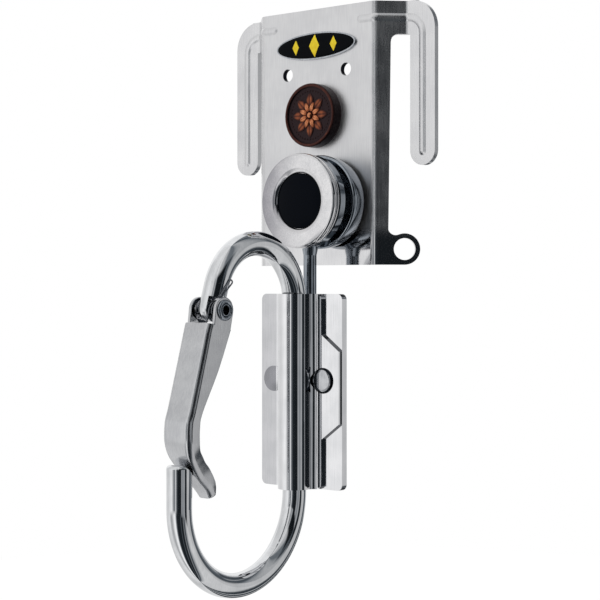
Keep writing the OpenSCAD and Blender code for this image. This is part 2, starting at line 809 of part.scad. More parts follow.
module drum_front_disc() {
    depth = recess_floor_y - drum_face_y;
    color("lightgray") difference() {
        soft_disc(drum_face_y, front_disc_t, drum_d / 2);
        disc(drum_x, drum_face_y - over, drum_z, drum_screw_r + run_fit, front_disc_t + 2 * over);
        disc(drum_x, cap_edge_y, drum_z, cap_r + run_fit, depth - cap_sink);
        translate([drum_x, drum_face_y - seam, drum_z]) rotate([-90, 0, 0])
            cylinder(r1 = cap_r + recess_flare, r2 = cap_r + run_fit, h = cap_sink + 2 * seam);
    }
}

module drum_screw() {
    end_y = back_y + rivet_washer_t;
    color("gray") {
        disc(drum_x, recess_floor_y - drum_head_t, drum_z, drum_head_r, drum_head_t);
        disc(drum_x, recess_floor_y - seam, drum_z, drum_screw_r, end_y - recess_floor_y + 2 * seam);
        disc(drum_x, end_y, drum_z, rivet_end_r, rivet_end_t);
    }
}

module drum_rivet_washer() {
    color("silver") drum_ring(back_y, rivet_washer_t, rivet_washer_r, drum_screw_r + run_fit);
}

module drum_cap() {
    head_y = recess_floor_y - drum_head_t - run_fit;
    color("black") difference() {
        translate([drum_x, recess_floor_y, drum_z]) rotate([90, 0, 0])
            domed(cap_r, recess_floor_y - cap_edge_y, cap_dome);
        disc(drum_x, head_y, drum_z, drum_head_r + head_room, recess_floor_y - head_y + over);
    }
}

module hanger_eye() {
    r = eye_d / 2;
    color("silver") difference() {
        union() {
            translate([drum_x, eye_y, drum_z]) rotate([-90, 0, 0]) rotate_extrude() polygon([
                [0, 0], [r - eye_edge, 0], [r, eye_edge],
                [r, eye_t - eye_edge], [r - eye_edge, eye_t], [0, eye_t]
            ]);
            translate([drum_x, shank_y_mid, collar_bottom])
                cylinder(r = shank_r, h = shank_top - collar_bottom);
            translate([drum_x, shank_y_mid, eye_bottom - flare_h / 2])
                cylinder(r1 = shank_r, r2 = flare_r, h = flare_h);
        }
        disc(drum_x, eye_y - over, drum_z, bush_d / 2 + run_fit, eye_t + 2 * over);
    }
}

module hanger_front_washer() {
    color("gray") drum_ring(front_washer_y, eye_washer_t, eye_washer_r, bush_d / 2 + run_fit);
}

module hanger_rear_washer() {
    color("gray") drum_ring(rear_washer_y, eye_washer_t, eye_washer_r, bush_d / 2 + run_fit);
}

// A ring on the shank, from z upwards
module shank_ring(z, t) {
    translate([drum_x, shank_y_mid, z]) difference() {
        cylinder(r = collar_r, h = t);
        translate([0, 0, -over]) cylinder(r = channel_r, h = t + 2 * over);
    }
}

module shank_collar() {
    color("gray") shank_ring(collar_bottom, collar_t);
}

module thrust_washer() {
    color("goldenrod") shank_ring(collar_bottom + collar_t, thrust_t);
}

// The holes for both rivets, through everything between two depths
module rivet_holes(y, t, r) {
    for (x = rivet_xs) disc(drum_x + x, y, rivet_z, r, t);
}

// A plan drawn about an axis at y, drawn out over the height from z upwards
module upright(y, z, h) {
    translate([drum_x, y, z]) linear_extrude(h) children();
}

// A half round of radius r whose sides run on straight by l, towards +Y when side is 1, or -Y when -1
module u_plan(r, l, side) {
    intersection() {
        circle(r = r);
        translate([-r, side > 0 ? -r : 0]) square([2 * r, r]);
    }
    translate([-r, side > 0 ? -seam : -l]) square([2 * r, l + seam]);
}

module bracket_front_cover() {
    left = bracket_w / 2;
    wide_top = bracket_top - step_top;
    wide_bottom = wide_top - 2 * step_slope - step_wide_h;
    wall_l = middle_y - spine_y;
    fillet_x = bulge_out_r + cover_fillet_r;
    color("silver") difference() {
        union() {
            translate([drum_x, 0, 0]) sheet_at(front_cover_y, bracket_t) {
                translate([-left, bracket_bottom])
                    soft_rect(left + flange_narrow_w, bracket_h, bracket_corner_r);
                polygon([
                    [0, wide_top], [flange_narrow_w, wide_top],
                    [flange_wide_w, wide_top - step_slope], [flange_wide_w, wide_bottom + step_slope],
                    [flange_narrow_w, wide_bottom], [0, wide_bottom]
                ]);
            }
            upright(spine_y, bracket_bottom, bracket_h) {
                u_plan(bulge_out_r, wall_l, 1);
                for (side = [-1, 1]) translate([0, front_cover_y - spine_y - cover_fillet_r]) difference() {
                    translate([side > 0 ? 0 : -fillet_x, 0]) square([fillet_x, cover_fillet_r + seam]);
                    translate([side * fillet_x, 0]) circle(r = cover_fillet_r);
                }
            }
        }
        upright(spine_y, bracket_bottom - over, bracket_h + 2 * over) u_plan(bulge_in_r, wall_l + over, 1);
        rod_bend(top_mid_y, top_z, top_r, 0, 90, bulge_in_r);
        rivet_holes(front_cover_y - over, bracket_t + 2 * over, rivet_r + run_fit);
        rivet_holes(spine_y, front_cover_y - spine_y, rivet_head_r + run_fit);
    }
}

module bracket_middle_plate() {
    color("lightgray") difference() {
        translate([drum_x - bracket_w / 2, 0, bracket_bottom]) sheet_at(middle_y, bracket_t)
            soft_rect(bracket_w, bracket_h, bracket_corner_r);
        rivet_holes(middle_y - over, bracket_t + 2 * over, rivet_r + run_fit);
        translate([drum_x - pocket_r, middle_y - over, pocket_bottom])
            cube([2 * pocket_r, bracket_t + 2 * over, pocket_top - pocket_bottom]);
    }
}

module bracket_rear_cover() {
    reach = shank_y_mid - middle_back_y;
    color("silver") difference() {
        union() {
            translate([drum_x - bracket_w / 2, 0, bracket_bottom]) sheet_at(middle_back_y, bracket_t)
                soft_rect(bracket_w, bracket_h, bracket_corner_r);
            upright(shank_y_mid, pocket_bottom - bracket_t, bracket_top - pocket_bottom + bracket_t)
                u_plan(channel_r + bracket_t, reach, -1);
            upright(shank_y_mid, pocket_bottom - bracket_t, pocket_top - pocket_bottom + 2 * bracket_t)
                u_plan(pocket_r + bracket_t, reach, -1);
        }
        upright(shank_y_mid, pocket_top - seam, shank_bearing_l + over) u_plan(channel_r, reach + over, -1);
        upright(shank_y_mid, pocket_bottom, pocket_top - pocket_bottom) u_plan(pocket_r, reach + over, -1);
        rivet_holes(middle_back_y - over, bracket_t + 2 * over, rivet_r + run_fit);
    }
}

module bracket_rivets() {
    edge = rivet_head_h / 3;
    color("silver") for (x = rivet_xs) {
        translate([drum_x + x, front_cover_y, rivet_z]) rotate([90, 0, 0])
            domed(rivet_head_r, edge, rivet_head_h - edge);
        disc(drum_x + x, front_cover_y - seam, rivet_z, rivet_r, 3 * bracket_t + 2 * seam);
        disc(drum_x + x, rear_cover_back_y, rivet_z, rivet_head_r - rivet_head_h, rivet_head_h);
    }
}

// A bend of the rod in the carabiner's plane, about y and z, from one angle over a sweep
module rod_bend(y, z, bend, from, sweep, r) {
    side_on(drum_x) translate([y, z, 0]) rotate([0, 0, from])
        rotate_extrude(angle = sweep) translate([bend, 0]) circle(r = r);
}

// The gate's leg of the ring, from just inside the upper bend down to the pivot
module gate_leg() {
    inside = 10 * seam;
    side_on(drum_x) translate([top_mid_y, top_z, 0]) rotate([0, 0, 180 - leg_lean])
        translate([top_r, -inside, 0]) rotate([-90, 0, 0])
            cylinder(r = rod_r - seam, h = leg_fall / cos(leg_lean) + inside);
    translate([drum_x, pivot_y, pivot_z]) sphere(r = rod_r - seam);
}

module carabiner_ring() {
    latch = flat_pair(station(gate_shares[latch_station]));
    tail = flat_pair(station(gate_shares[tail_station]));
    away = [latch[1] - tail[1], tail[0] - latch[0]] / norm(latch - tail);
    along = (nose_y + rod_r - latch[0]) / (tail[0] - latch[0]);
    bevel_low = latch + (tail - latch) * along - away * nose_gap;
    bevel_top = [nose_y - rod_r * nose_flat_share, nose_top];
    run = bevel_low - bevel_top;
    out = [-run[1], run[0]];
    color("silver") difference() {
        union() {
            translate([drum_x, spine_y, low_z]) cylinder(r = rod_r, h = spine_l);
            rod_bend(top_mid_y, top_z, top_r, 0, 180 - leg_lean, rod_r);
            rod_bend(low_mid_y, low_z, low_r, 180, 180, rod_r);
            translate([drum_x, nose_y, low_z]) rotate_extrude() {
                square([rod_r, nose_l - nose_edge_r]);
                square([rod_r - nose_edge_r, nose_l]);
                translate([rod_r - nose_edge_r, nose_l - nose_edge_r]) circle(r = nose_edge_r);
            }
            gate_leg();
        }
        side_on(drum_x - rod_d) linear_extrude(2 * rod_d)
            polygon([bevel_top - run, bevel_low + run, bevel_low + run + out, bevel_top - run + out]);
        translate([drum_x + near_flat_x, pivot_y, pivot_z]) milled_flat();
        translate([drum_x - far_flat_x, pivot_y, pivot_z]) mirror([1, 0, 0]) milled_flat();
        translate([drum_x - rod_d, pivot_y, pivot_z]) rotate([0, 90, 0])
            cylinder(r = pivot_r + run_fit, h = 2 * rod_d);
    }
}

// What is milled off one side of the gate's leg, square to the leg
module milled_flat() {
    rotate([-leg_lean, 0, 0]) translate([0, -rod_d, -rod_d]) cube([rod_d, 2 * rod_d, rod_d + flat_reach]);
}

// One ear of the gate, in the plane of the carabiner
module ear_outline() {
    across = [-gate_tangent(0)[1], gate_tangent(0)[0]];
    centre = flat_pair([pivot_y, pivot_z]);
    web = flat_pair(gate_curve[0]);
    front = web + across * gate_bend_r;
    rear = web + across * gate_curve[0][2];
    down = gate_tangent(0) * seam;
    translate(centre) circle(r = ear_r);
    polygon([
        touch(front, centre, ear_r, -1), front, front + down, rear + down, rear,
        touch(rear, centre, ear_r, 1), centre
    ]);
}

module gate_channel() {
    color("lightgray") difference() {
        union() {
            translate([drum_x, 0, 0]) skin([for (i = [0:len(gate_curve) - 1]) gate_ring(i)]);
            for (x = [-gate_w / 2, ear_in_x]) side_on(drum_x + x + seam / 2)
                linear_extrude(gate_t - seam) ear_outline();
        }
        translate([drum_x - gate_w, pivot_y, pivot_z]) rotate([0, 90, 0])
            cylinder(r = pivot_r + run_fit, h = 2 * gate_w);
    }
}

// A rolled head of the pivot rivet, standing towards +X from x
module rolled_head(x) {
    edge = pivot_head_h / 2;
    translate([x, pivot_y, pivot_z]) rotate([0, 90, 0]) rotate_extrude() {
        square([pivot_head_r - edge, pivot_head_h]);
        translate([pivot_head_r - edge, edge]) circle(r = edge);
    }
}

module gate_pivot_rivet() {
    head_x = gate_w / 2 + run_fit;
    color("dimgray") difference() {
        union() {
            translate([drum_x - head_x - seam, pivot_y, pivot_z]) rotate([0, 90, 0])
                cylinder(r = pivot_r, h = 2 * (head_x + seam));
            rolled_head(drum_x + head_x);
            translate([drum_x, 0, 0]) mirror([1, 0, 0]) rolled_head(head_x);
        }
        translate([drum_x - gate_w, pivot_y, pivot_z]) rotate([0, 90, 0])
            cylinder(r = pivot_bore_r, h = 2 * gate_w);
    }
}

module gate_far_washer() {
    color("gray") translate([drum_x - ear_in_x + run_fit, pivot_y, pivot_z]) rotate([0, 90, 0]) difference() {
        cylinder(r = far_washer_r, h = far_washer_t);
        translate([0, 0, -over]) cylinder(r = pivot_r + run_fit, h = far_washer_t + 2 * over);
    }
}

module gate_spring() {
    color("gray") translate([drum_x, 0, 0]) wire(spring_path);
}

belt_plate();
label_plate();
label_enamel();
label_marks();
concho_body();
concho_rosette();
concho_screw();
drum_back_washer();
drum_rear_flange();
drum_spacer();
drum_bush();
drum_front_disc();
drum_screw();
drum_rivet_washer();
drum_cap();
hanger_eye();
hanger_front_washer();
hanger_rear_washer();
shank_collar();
thrust_washer();
bracket_front_cover();
bracket_middle_plate();
bracket_rear_cover();
bracket_rivets();
carabiner_ring();
gate_channel();
gate_pivot_rivet();
gate_far_washer();
gate_spring();
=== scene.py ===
# Looks for the belt-hung carabiner tool hanger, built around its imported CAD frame.
# The frame is in metres: X along the plate, Y back from its face, Z up. Sizes of the pieces and of
# their patterns are written in millimetres, and the studio's in metres.
import json
import math
import random

import bpy
from mathutils import Matrix, Vector


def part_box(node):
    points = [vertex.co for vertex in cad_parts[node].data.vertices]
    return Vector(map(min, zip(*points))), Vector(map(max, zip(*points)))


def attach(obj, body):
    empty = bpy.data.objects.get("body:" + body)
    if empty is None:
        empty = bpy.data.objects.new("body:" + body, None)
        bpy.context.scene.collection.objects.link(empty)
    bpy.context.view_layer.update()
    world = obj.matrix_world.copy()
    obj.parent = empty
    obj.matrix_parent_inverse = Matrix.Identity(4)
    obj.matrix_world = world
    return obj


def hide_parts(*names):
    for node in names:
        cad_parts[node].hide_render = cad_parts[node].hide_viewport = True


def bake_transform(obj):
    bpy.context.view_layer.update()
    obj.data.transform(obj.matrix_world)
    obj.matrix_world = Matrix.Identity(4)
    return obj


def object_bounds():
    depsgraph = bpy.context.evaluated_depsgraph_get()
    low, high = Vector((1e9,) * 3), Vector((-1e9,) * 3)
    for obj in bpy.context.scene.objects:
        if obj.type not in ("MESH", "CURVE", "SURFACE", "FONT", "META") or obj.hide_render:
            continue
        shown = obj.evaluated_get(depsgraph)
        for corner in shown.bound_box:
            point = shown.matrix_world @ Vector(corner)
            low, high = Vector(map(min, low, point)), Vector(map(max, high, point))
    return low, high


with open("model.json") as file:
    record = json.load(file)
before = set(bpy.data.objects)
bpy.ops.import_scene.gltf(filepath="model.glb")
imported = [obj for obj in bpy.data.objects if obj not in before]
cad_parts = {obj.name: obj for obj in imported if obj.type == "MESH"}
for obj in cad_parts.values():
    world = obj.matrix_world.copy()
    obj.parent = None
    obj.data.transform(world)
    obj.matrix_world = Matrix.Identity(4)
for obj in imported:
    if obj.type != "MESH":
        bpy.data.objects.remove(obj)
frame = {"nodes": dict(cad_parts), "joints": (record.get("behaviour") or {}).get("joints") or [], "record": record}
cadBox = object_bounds()
bodyOf = {node: body for body, nodes in frame["record"]["behaviour"]["bodies"].items() for node in nodes}
mm = 0.001
jointAt = {joint["name"]: Vector(joint["pos_m"]) / mm for joint in frame["joints"]}
print("frame loaded:", len(frame["nodes"]), "CAD nodes")


# A CAD node's lowest and highest corner, in millimetres
def boxOf(node):
    return [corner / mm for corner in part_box(node)]


# sRGB hex to linear RGBA
def linearColour(hexCode):
    channels = [int(hexCode[i:i + 2], 16) / 255 for i in (1, 3, 5)]
    return tuple(c / 12.92 if c <= 0.04045 else ((c + 0.055) / 1.055) ** 2.4 for c in channels) + (1,)


# Adds one node: settings are its attributes, inputs are values or (node, output), stops fill a ramp
def addNode(tree, kind, settings=None, inputs=None, stops=None):
    node = tree.nodes.new(kind)
    for name, value in (settings or {}).items():
        setattr(node, name, value)
    for name, value in (inputs or {}).items():
        if isinstance(value, tuple) and isinstance(value[0], bpy.types.Node):
            tree.links.new(value[0].outputs[value[1]], node.inputs[name])
        else:
            node.inputs[name].default_value = value
    if stops:
        ramp = node.color_ramp.elements
        ramp.remove(ramp[1])
        ramp[0].position, ramp[0].color = stops[0]
        for spot, colour in stops[1:]:
            ramp.new(spot).color = colour
    return node


# An empty node material, and the object's own coordinates in millimetres
def startMaterial(name):
    material = bpy.data.materials.new(name)
    material.use_nodes = True
    material.node_tree.nodes.clear()
    coords = addNode(material.node_tree, "ShaderNodeTexCoord")
    inMm = addNode(material.node_tree, "ShaderNodeMapping",
                   inputs={"Vector": (coords, "Object"), "Scale": (1 / mm, 1 / mm, 1 / mm)})
    return material, material.node_tree, inMm


# The camera stands to the right of the plate's front and looks level
camera = {
    "at": (0.3392, -0.4181, -0.0848),
    "turn": 40,            # degrees about Z
    "lens": 92.4,          # in millimetres, like the sensor's width
    "sensor": 36,
    "shift": -14.5 / 600,  # 14.5 of the picture's 600 rows
    "clip": (0.01, 20),
}


def buildCamera():
    bpy.ops.object.camera_add(location=camera["at"],
                              rotation=(math.radians(90), 0, math.radians(camera["turn"])))
    eye = bpy.context.object
    eye.name = "photoCamera"
    eye.data.sensor_width = camera["sensor"]
    eye.data.lens = camera["lens"]
    eye.data.shift_y = camera["shift"]
    eye.data.clip_start, eye.data.clip_end = camera["clip"]
    bpy.context.scene.camera = eye


# What mirrors see: rings of wall, each held between two heights (sines) and given as brightness by
# degrees to the right of the lens. The dark gap in the middle is where the lens looks in.
tent = {
    "daylight": 0.72,    # what matt surfaces see of it
    "blue": 0.22,        # how much bluer its darkest gaps are
    "rings": [
        {"from": -1, "to": -0.24, "wall": [
            (-180, 0.9), (-148, 0.7), (-100, 0.95), (-84, 0.8), (-70, 0.45), (-58, 0.7), (-47, 1.1),
            (-34, 1.2), (-28, 0.4), (-22, 0.1), (-17, 0.02), (10, 0.02), (14, 0.12), (19, 0.02),
            (32, 0.02), (37, 0.32), (43, 0.05), (48, 0.1), (54, 0.4), (66, 0.75), (101, 0.7),
            (108, 0.06), (124, 0.06), (127, 1), (131, 0.1), (150, 0.06), (156, 0.95), (161, 0.05),
            (174, 0.05), (177, 0.9), (180, 0.9)]},
        {"from": -0.18, "to": 0.18, "wall": [
            (-180, 0.9), (-135, 0.85), (-125, 0.78), (-104, 0.8), (-92, 0.88), (-80, 0.98), (-66, 1.05),
            (-58, 0.8), (-50, 0.4), (-37, 0.25), (-31, 0.35), (-29, 0.9), (-25, 0.9), (-22, 0.2),
            (-10, 0.02), (19, 0.01), (23, 0.3), (27, 0.42), (34, 0.3), (42, 0.25), (46, 0.5), (50, 0.5),
            (55, 0.1), (58, 0.02), (72, 0.02), (76, 0.6), (102, 0.6), (108, 0.08), (122, 0.12),
            (132, 0.3), (150, 1), (180, 0.9)]},
        {"from": 0.24, "to": 0.52, "wall": [
            (-180, 1.05), (-132, 1.05), (-126, 0.78), (-96, 0.78), (-80, 0.9), (-60, 1), (-36, 0.8),
            (-26, 0.85), (-17, 0.5), (-12, 0.2), (-5, 0.6), (0, 0.2), (5, 0.01), (50, 0.01), (56, 0.1),
            (64, 0.05), (70, 0.3), (76, 0.5), (92, 0.45), (101, 0.3), (106, 0.1), (114, 0.08),
            (118, 0.4), (122, 0.12), (130, 0.06), (146, 0.16), (156, 1), (180, 1.05)]},
        {"from": 0.66, "to": 1, "wall": [
            (-180, 1), (-145, 1), (-120, 0.84), (-90, 0.8), (-70, 0.85), (-40, 0.92), (-20, 0.75),
            (-6, 0.9), (4, 0.6), (24, 0.5), (36, 0.2), (58, 0.18), (68, 0.38), (84, 0.5), (96, 0.34),
            (108, 0.12), (120, 0.08), (131, 0.3), (138, 0.1), (152, 0.3), (160, 0.9), (180, 1)]},
    ],
}


# A grey of the tent: white cloth is neutral, and the darker a gap is, the bluer
def tentColour(value):
    blue = tent["blue"] * max(0, 1 - value) ** 4
    return value * (1 - blue), value, value * (1 + blue), 1


# The tent round the object: the lens sees plain white, mirrors see the walls and gaps of a real
# studio, and matt surfaces see an even white
def buildTent():
    world = bpy.data.worlds.new("lightTent")
    bpy.context.scene.world = world
    world.use_nodes = True
    tree = world.node_tree
    tree.nodes.clear()
    turn = math.radians(camera["turn"])
    towards = (math.sin(turn), -math.cos(turn), 0)
    right = (math.cos(turn), math.sin(turn), 0)
    way = addNode(tree, "ShaderNodeTexCoord")
    ahead = addNode(tree, "ShaderNodeVectorMath", {"operation": "DOT_PRODUCT"},
                    {0: (way, "Generated"), 1: towards})
    aside = addNode(tree, "ShaderNodeVectorMath", {"operation": "DOT_PRODUCT"},
                    {0: (way, "Generated"), 1: right})
    angle = addNode(tree, "ShaderNodeMath", {"operation": "ARCTAN2"},
                    {0: (aside, "Value"), 1: (ahead, "Value")})
    share = addNode(tree, "ShaderNodeMapRange",
                    inputs={"Value": (angle, 0), "From Min": -math.pi, "From Max": math.pi})
    height = addNode(tree, "ShaderNodeSeparateXYZ", inputs={"Vector": (way, "Generated")})
    shown = None
    for below, ring in zip([None] + tent["rings"], tent["rings"]):
        wall = addNode(tree, "ShaderNodeValToRGB", inputs={"Fac": (share, 0)},
                       stops=[(degrees / 360 + 0.5, tentColour(v)) for degrees, v in ring["wall"]])
        if below is None:
            shown = (wall, "Color")
            continue
        risen = addNode(tree, "ShaderNodeMapRange", {"interpolation_type": "SMOOTHSTEP"},
                        {"Value": (height, "Z"), "From Min": below["to"], "From Max": ring["from"]})
        shown = (addNode(tree, "ShaderNodeMix", {"data_type": "RGBA"},
                         {0: (risen, 0), 6: shown, 7: (wall, "Color")}), 2)
    ray = addNode(tree, "ShaderNodeLightPath")
    mirrored = addNode(tree, "ShaderNodeMath", {"operation": "MAXIMUM"},
                       {0: (ray, "Is Glossy Ray"), 1: (ray, "Is Transmission Ray")})
    even = addNode(tree, "ShaderNodeBackground", inputs={"Color": (1, 1, 1, 1), "Strength": tent["daylight"]})
    seen = addNode(tree, "ShaderNodeBackground", inputs={"Color": shown, "Strength": 1})
    white = addNode(tree, "ShaderNodeBackground", inputs={"Color": (1, 1, 1, 1), "Strength": 1})
    first = addNode(tree, "ShaderNodeMixShader", inputs={0: (mirrored, 0), 1: (even, 0), 2: (seen, 0)})
    both = addNode(tree, "ShaderNodeMixShader",
                   inputs={0: (ray, "Is Camera Ray"), 1: (first, 0), 2: (white, 0)})
    addNode(tree, "ShaderNodeOutputWorld", inputs={"Surface": (both, 0)})


# Softboxes, which mirrors don't see: where each stands, how wide it is and its watts
softboxes = {
    "softboxKey": {"at": (-0.55, -0.75, 0.75), "size": 0.55, "watts": 3.4},
    "softboxFill": {"at": (0.95, -0.45, 0.35), "size": 0.5, "watts": 1.3},
    "softboxTop": {"at": (0.1, 0.1, 1.1), "size": 0.8, "watts": 2.0},
}
softboxAim = Vector((0, -0.02, -0.085))


def buildSoftboxes():
    for name, box in softboxes.items():
        bpy.ops.object.light_add(type="AREA", location=box["at"])
        lamp = bpy.context.object
        lamp.name = name
        lamp.data.shape = "DISK"
        lamp.data.size = box["size"]
        lamp.data.energy = box["watts"]
        lamp.visible_glossy = False
        lamp.rotation_euler = (softboxAim - Vector(box["at"])).to_track_quat("-Z", "Y").to_euler()


# White laminate board: matt to the lamps, so it keeps the shadow, and lifted to white for the lens
board = {
    "drop": 0.045,    # below the hanging carabiner
    "radius": 0.32, "sides": 96,
    "light": "#F4F4F5", "dark": "#F1F1F2",
    "mottle": 50,     # millimetres
    "glow": 1.04,     # how bright the lens would see it without its shade
    "lift": 0.9,      # how much of that glow the lens gets
}


def buildBoard():
    bpy.ops.mesh.primitive_circle_add(vertices=board["sides"], radius=board["radius"], fill_type="NGON",
                                      location=(0, 0, cadBox[0].z - board["drop"]))
    floor = bpy.context.object
    floor.name = "whiteBoard"
    floor.visible_glossy = False    # the tent gives the mirrors their picture
    material, tree, inMm = startMaterial("matt white laminate")
    mottle = addNode(tree, "ShaderNodeTexNoise",
                     inputs={"Vector": (inMm, "Vector"), "Scale": 1 / board["mottle"]})
    tint = addNode(tree, "ShaderNodeMix", {"data_type": "RGBA"},
                   {0: (mottle, 0), 6: linearColour(board["dark"]), 7: linearColour(board["light"])})
    matt = addNode(tree, "ShaderNodeBsdfDiffuse", inputs={"Color": (tint, 2)})
    glow = addNode(tree, "ShaderNodeEmission", inputs={"Color": (1, 1, 1, 1), "Strength": board["glow"]})
    ray = addNode(tree, "ShaderNodeLightPath")
    lifted = addNode(tree, "ShaderNodeMath", {"operation": "MULTIPLY"},
                     {0: (ray, "Is Camera Ray"), 1: board["lift"]})
    both = addNode(tree, "ShaderNodeMixShader", inputs={0: (lifted, 0), 1: (matt, 0), 2: (glow, 0)})
    addNode(tree, "ShaderNodeOutputMaterial", inputs={"Surface": (both, 0)})
    floor.data.materials.append(material)


bpy.context.scene.view_settings.view_transform = "Standard"
buildCamera()
buildTent()
buildSoftboxes()
buildBoard()
print("camera, tent, lamps and floor are up")

# Steel finishes. grain is lines per millimetre along X, Y and Z; cloud and wave are the sizes of the
# stains and of the buckles; rough goes from the smoothest spot to the roughest. The list of wear and
# painted shade holds what has changed a stretch of the surface: real wear in its roughness, and painted
# shade among the tints of its colour. A stretch lies where all its limits meet. A limit is a measure and either
# above or below a value, or the value at which the stretch starts and the one at which it is full.
steelLooks = {
    # rolled sheet with a satin skin: soft clouds and a fine upright grain
    "satin 304 stainless sheet": {
        "light": "#E0E0E1", "dark": "#D0D0D2", "cloud": 9, "rough": (0.2, 0.32),
        "grain": (2.6, 2.6, 0.12), "grainDepth": 0.0004, "wave": 13, "waveDepth": 0.008,
        "wearAndPaintedShade": [
            # only the face stayed satin, the rest was polished
            {"where": [("Y", -4.92, -4.98)], "rougher": 0.1},
            # rubbed bright under the drum, where the eye and the carabiner swing past
            {"where": [("Z", -64, -70)], "rough": 0.07},
            # the walls of the screw holes, where they face along X, are tinted near black
            {"where": [("aside", "below", 16), ("faces X", "above", 0.3)], "tint": "#14181F"}]},
    # the folded bracket sheets, polished brighter than the plate, slightly uneven from folding
    "mirror polished stainless": {
        "light": "#EBEBED", "dark": "#DADBDD", "cloud": 7, "rough": (0.03, 0.07),
        "grain": (3.2, 3.2, 0.1), "grainDepth": 0.0003, "wave": 5, "waveDepth": 0.004,
        "wearAndPaintedShade": [
            # painted shade: the flange on the belt's side, left of X -3.6, is darkened a little
            {"where": [("X", "below", -3.6)], "paintedShade": "#DFDFE0"},
            # painted shade: the sheets' edges that face up or down are darkened
            {"where": [("faces Z", "above", 0.5)], "tint": "#4A4D52"}]},
    # plated rod: the plating flows over draw lines, so it mirrors with a slight ripple
    "bright chrome plate": {
        "light": "#E4E5E7", "dark": "#D2D4D6", "cloud": 6, "rough": (0.03, 0.07),
        "grain": (2.4, 2.4, 0.3), "grainDepth": 0.0003, "wave": 4, "waveDepth": 0.004},
    # the eye, the rear flange and the pivot rivet: chrome given a darker colour, a painted dark reflection of
    # their surroundings
    "chrome plate with painted dark reflection": {
        "light": "#A2A8AF", "dark": "#858C94", "cloud": 6, "rough": (0.05, 0.1),
        "grain": (2.4, 2.4, 0.3), "grainDepth": 0.0003, "wave": 4, "waveDepth": 0.004},
    # stamped gate, tumbled to a soft sheen
    "tumbled stainless": {
        "light": "#C9CACC", "dark": "#B9BABD", "cloud": 5, "rough": (0.13, 0.2),
        "grain": (2.2, 2.2, 0.14), "grainDepth": 0.0008, "wave": 7, "waveDepth": 0.004,
        "wearAndPaintedShade": [
            # painted shade inside the folded channel, above its tail
            {"middle": jointAt["gate_hinge"], "tint": "#2B2F36",
             "where": [("aside", "below", 4.72), ("faces X", "above", 0.9), ("Z", "above", -101)]}]},
    # turned faces, a bright mirror with a little unevenness under the polish
    "turned stainless": {
        "light": "#E2E1E2", "dark": "#CFCFD1", "cloud": 5, "rough": (0.04, 0.08),
        "grain": (1.8, 1.8, 1.8), "grainDepth": 0.0006, "wave": 9, "waveDepth": 0.006,
        "wearAndPaintedShade": [
            # only the front disc's face was left satin
            {"where": [("Y", -23.5, -23.56)], "rougher": 0.1},
            # painted shade: the face grows darker towards its left, in place of the changing sheen of its turning
            {"where": [("X", 9, -9)], "paintedShade": "#BEBDC2"},
            # the recess was reamed, not polished
            {"middle": jointAt["hanger_swing"], "where": [("round", "below", 11.6)], "rough": 0.1}]},
    # the bracket's left rivet, scuffed flat with its flange; left of X -3.6 it is darkened as painted shade
    "scuffed rivet steel with painted shade": {
        "light": "#EBEBED", "dark": "#DADBDD", "cloud": 7, "rough": (0.2, 0.3),
        "grain": (3.2, 3.2, 0.1), "grainDepth": 0.0003, "wave": 5, "waveDepth": 0.004,
        # painted shade left of X -3.6
        "wearAndPaintedShade": [{"where": [("X", "below", -3.6)], "paintedShade": "#AEAEB2"}]},
    # the right one kept its dome
    "snapped rivet steel with painted shadow ring": {
        "light": "#C6C8CB", "dark": "#A6A8AC", "cloud": 3, "rough": (0.04, 0.1),
        "grain": (3.2, 3.2, 0.1), "grainDepth": 0.0003, "wave": 5, "waveDepth": 0.004,
        "wearAndPaintedShade": [
            # painted shadow: a ring of black round the edge of the domed head
            {"middle": (16.7, 0, -116.4), "where": [("round", "above", 3.65)], "tint": "#171B21"}]},
    # zinc plated fasteners, a little grey and cloudy
    "zinc plated steel": {
        "light": "#BFC2C6", "dark": "#9A9EA4", "cloud": 3, "rough": (0.2, 0.36),
        "grain": (1.6, 1.6, 1.6), "grainDepth": 0.001, "wave": 4, "waveDepth": 0.006},
    # oiled dark steel of the drum's washer and sleeve, nearly black with a soft shine
    "oil blacked steel": {
        "light": "#6A6D71", "dark": "#45484D", "cloud": 2, "rough": (0.14, 0.28),
        "grain": (2, 2, 2), "grainDepth": 0.001, "wave": 3, "waveDepth": 0.004},
    # drawn wire, shiny along its length
    "drawn spring steel": {
        "light": "#8E9196", "dark": "#63666B", "cloud": 1.5, "rough": (0.16, 0.3),
        "grain": (4, 4, 4), "grainDepth": 0.001, "wave": 3, "waveDepth": 0.002},
    # turned brass of the bush and the thrust washer, warm and softly shiny
    "turned brass": {
        "light": "#D9B25F", "dark": "#B58A3A", "cloud": 3, "rough": (0.18, 0.3),
        "grain": (2, 2, 2), "grainDepth": 0.001, "wave": 4, "waveDepth": 0.004},
}


# How much grain is mixed into the stains, and which stretch of the mix the tint and the roughness follow
steelSkin = {"grainShare": 0.45, "tintFrom": (0.32, 0.68), "roughFrom": (0.3, 0.7)}


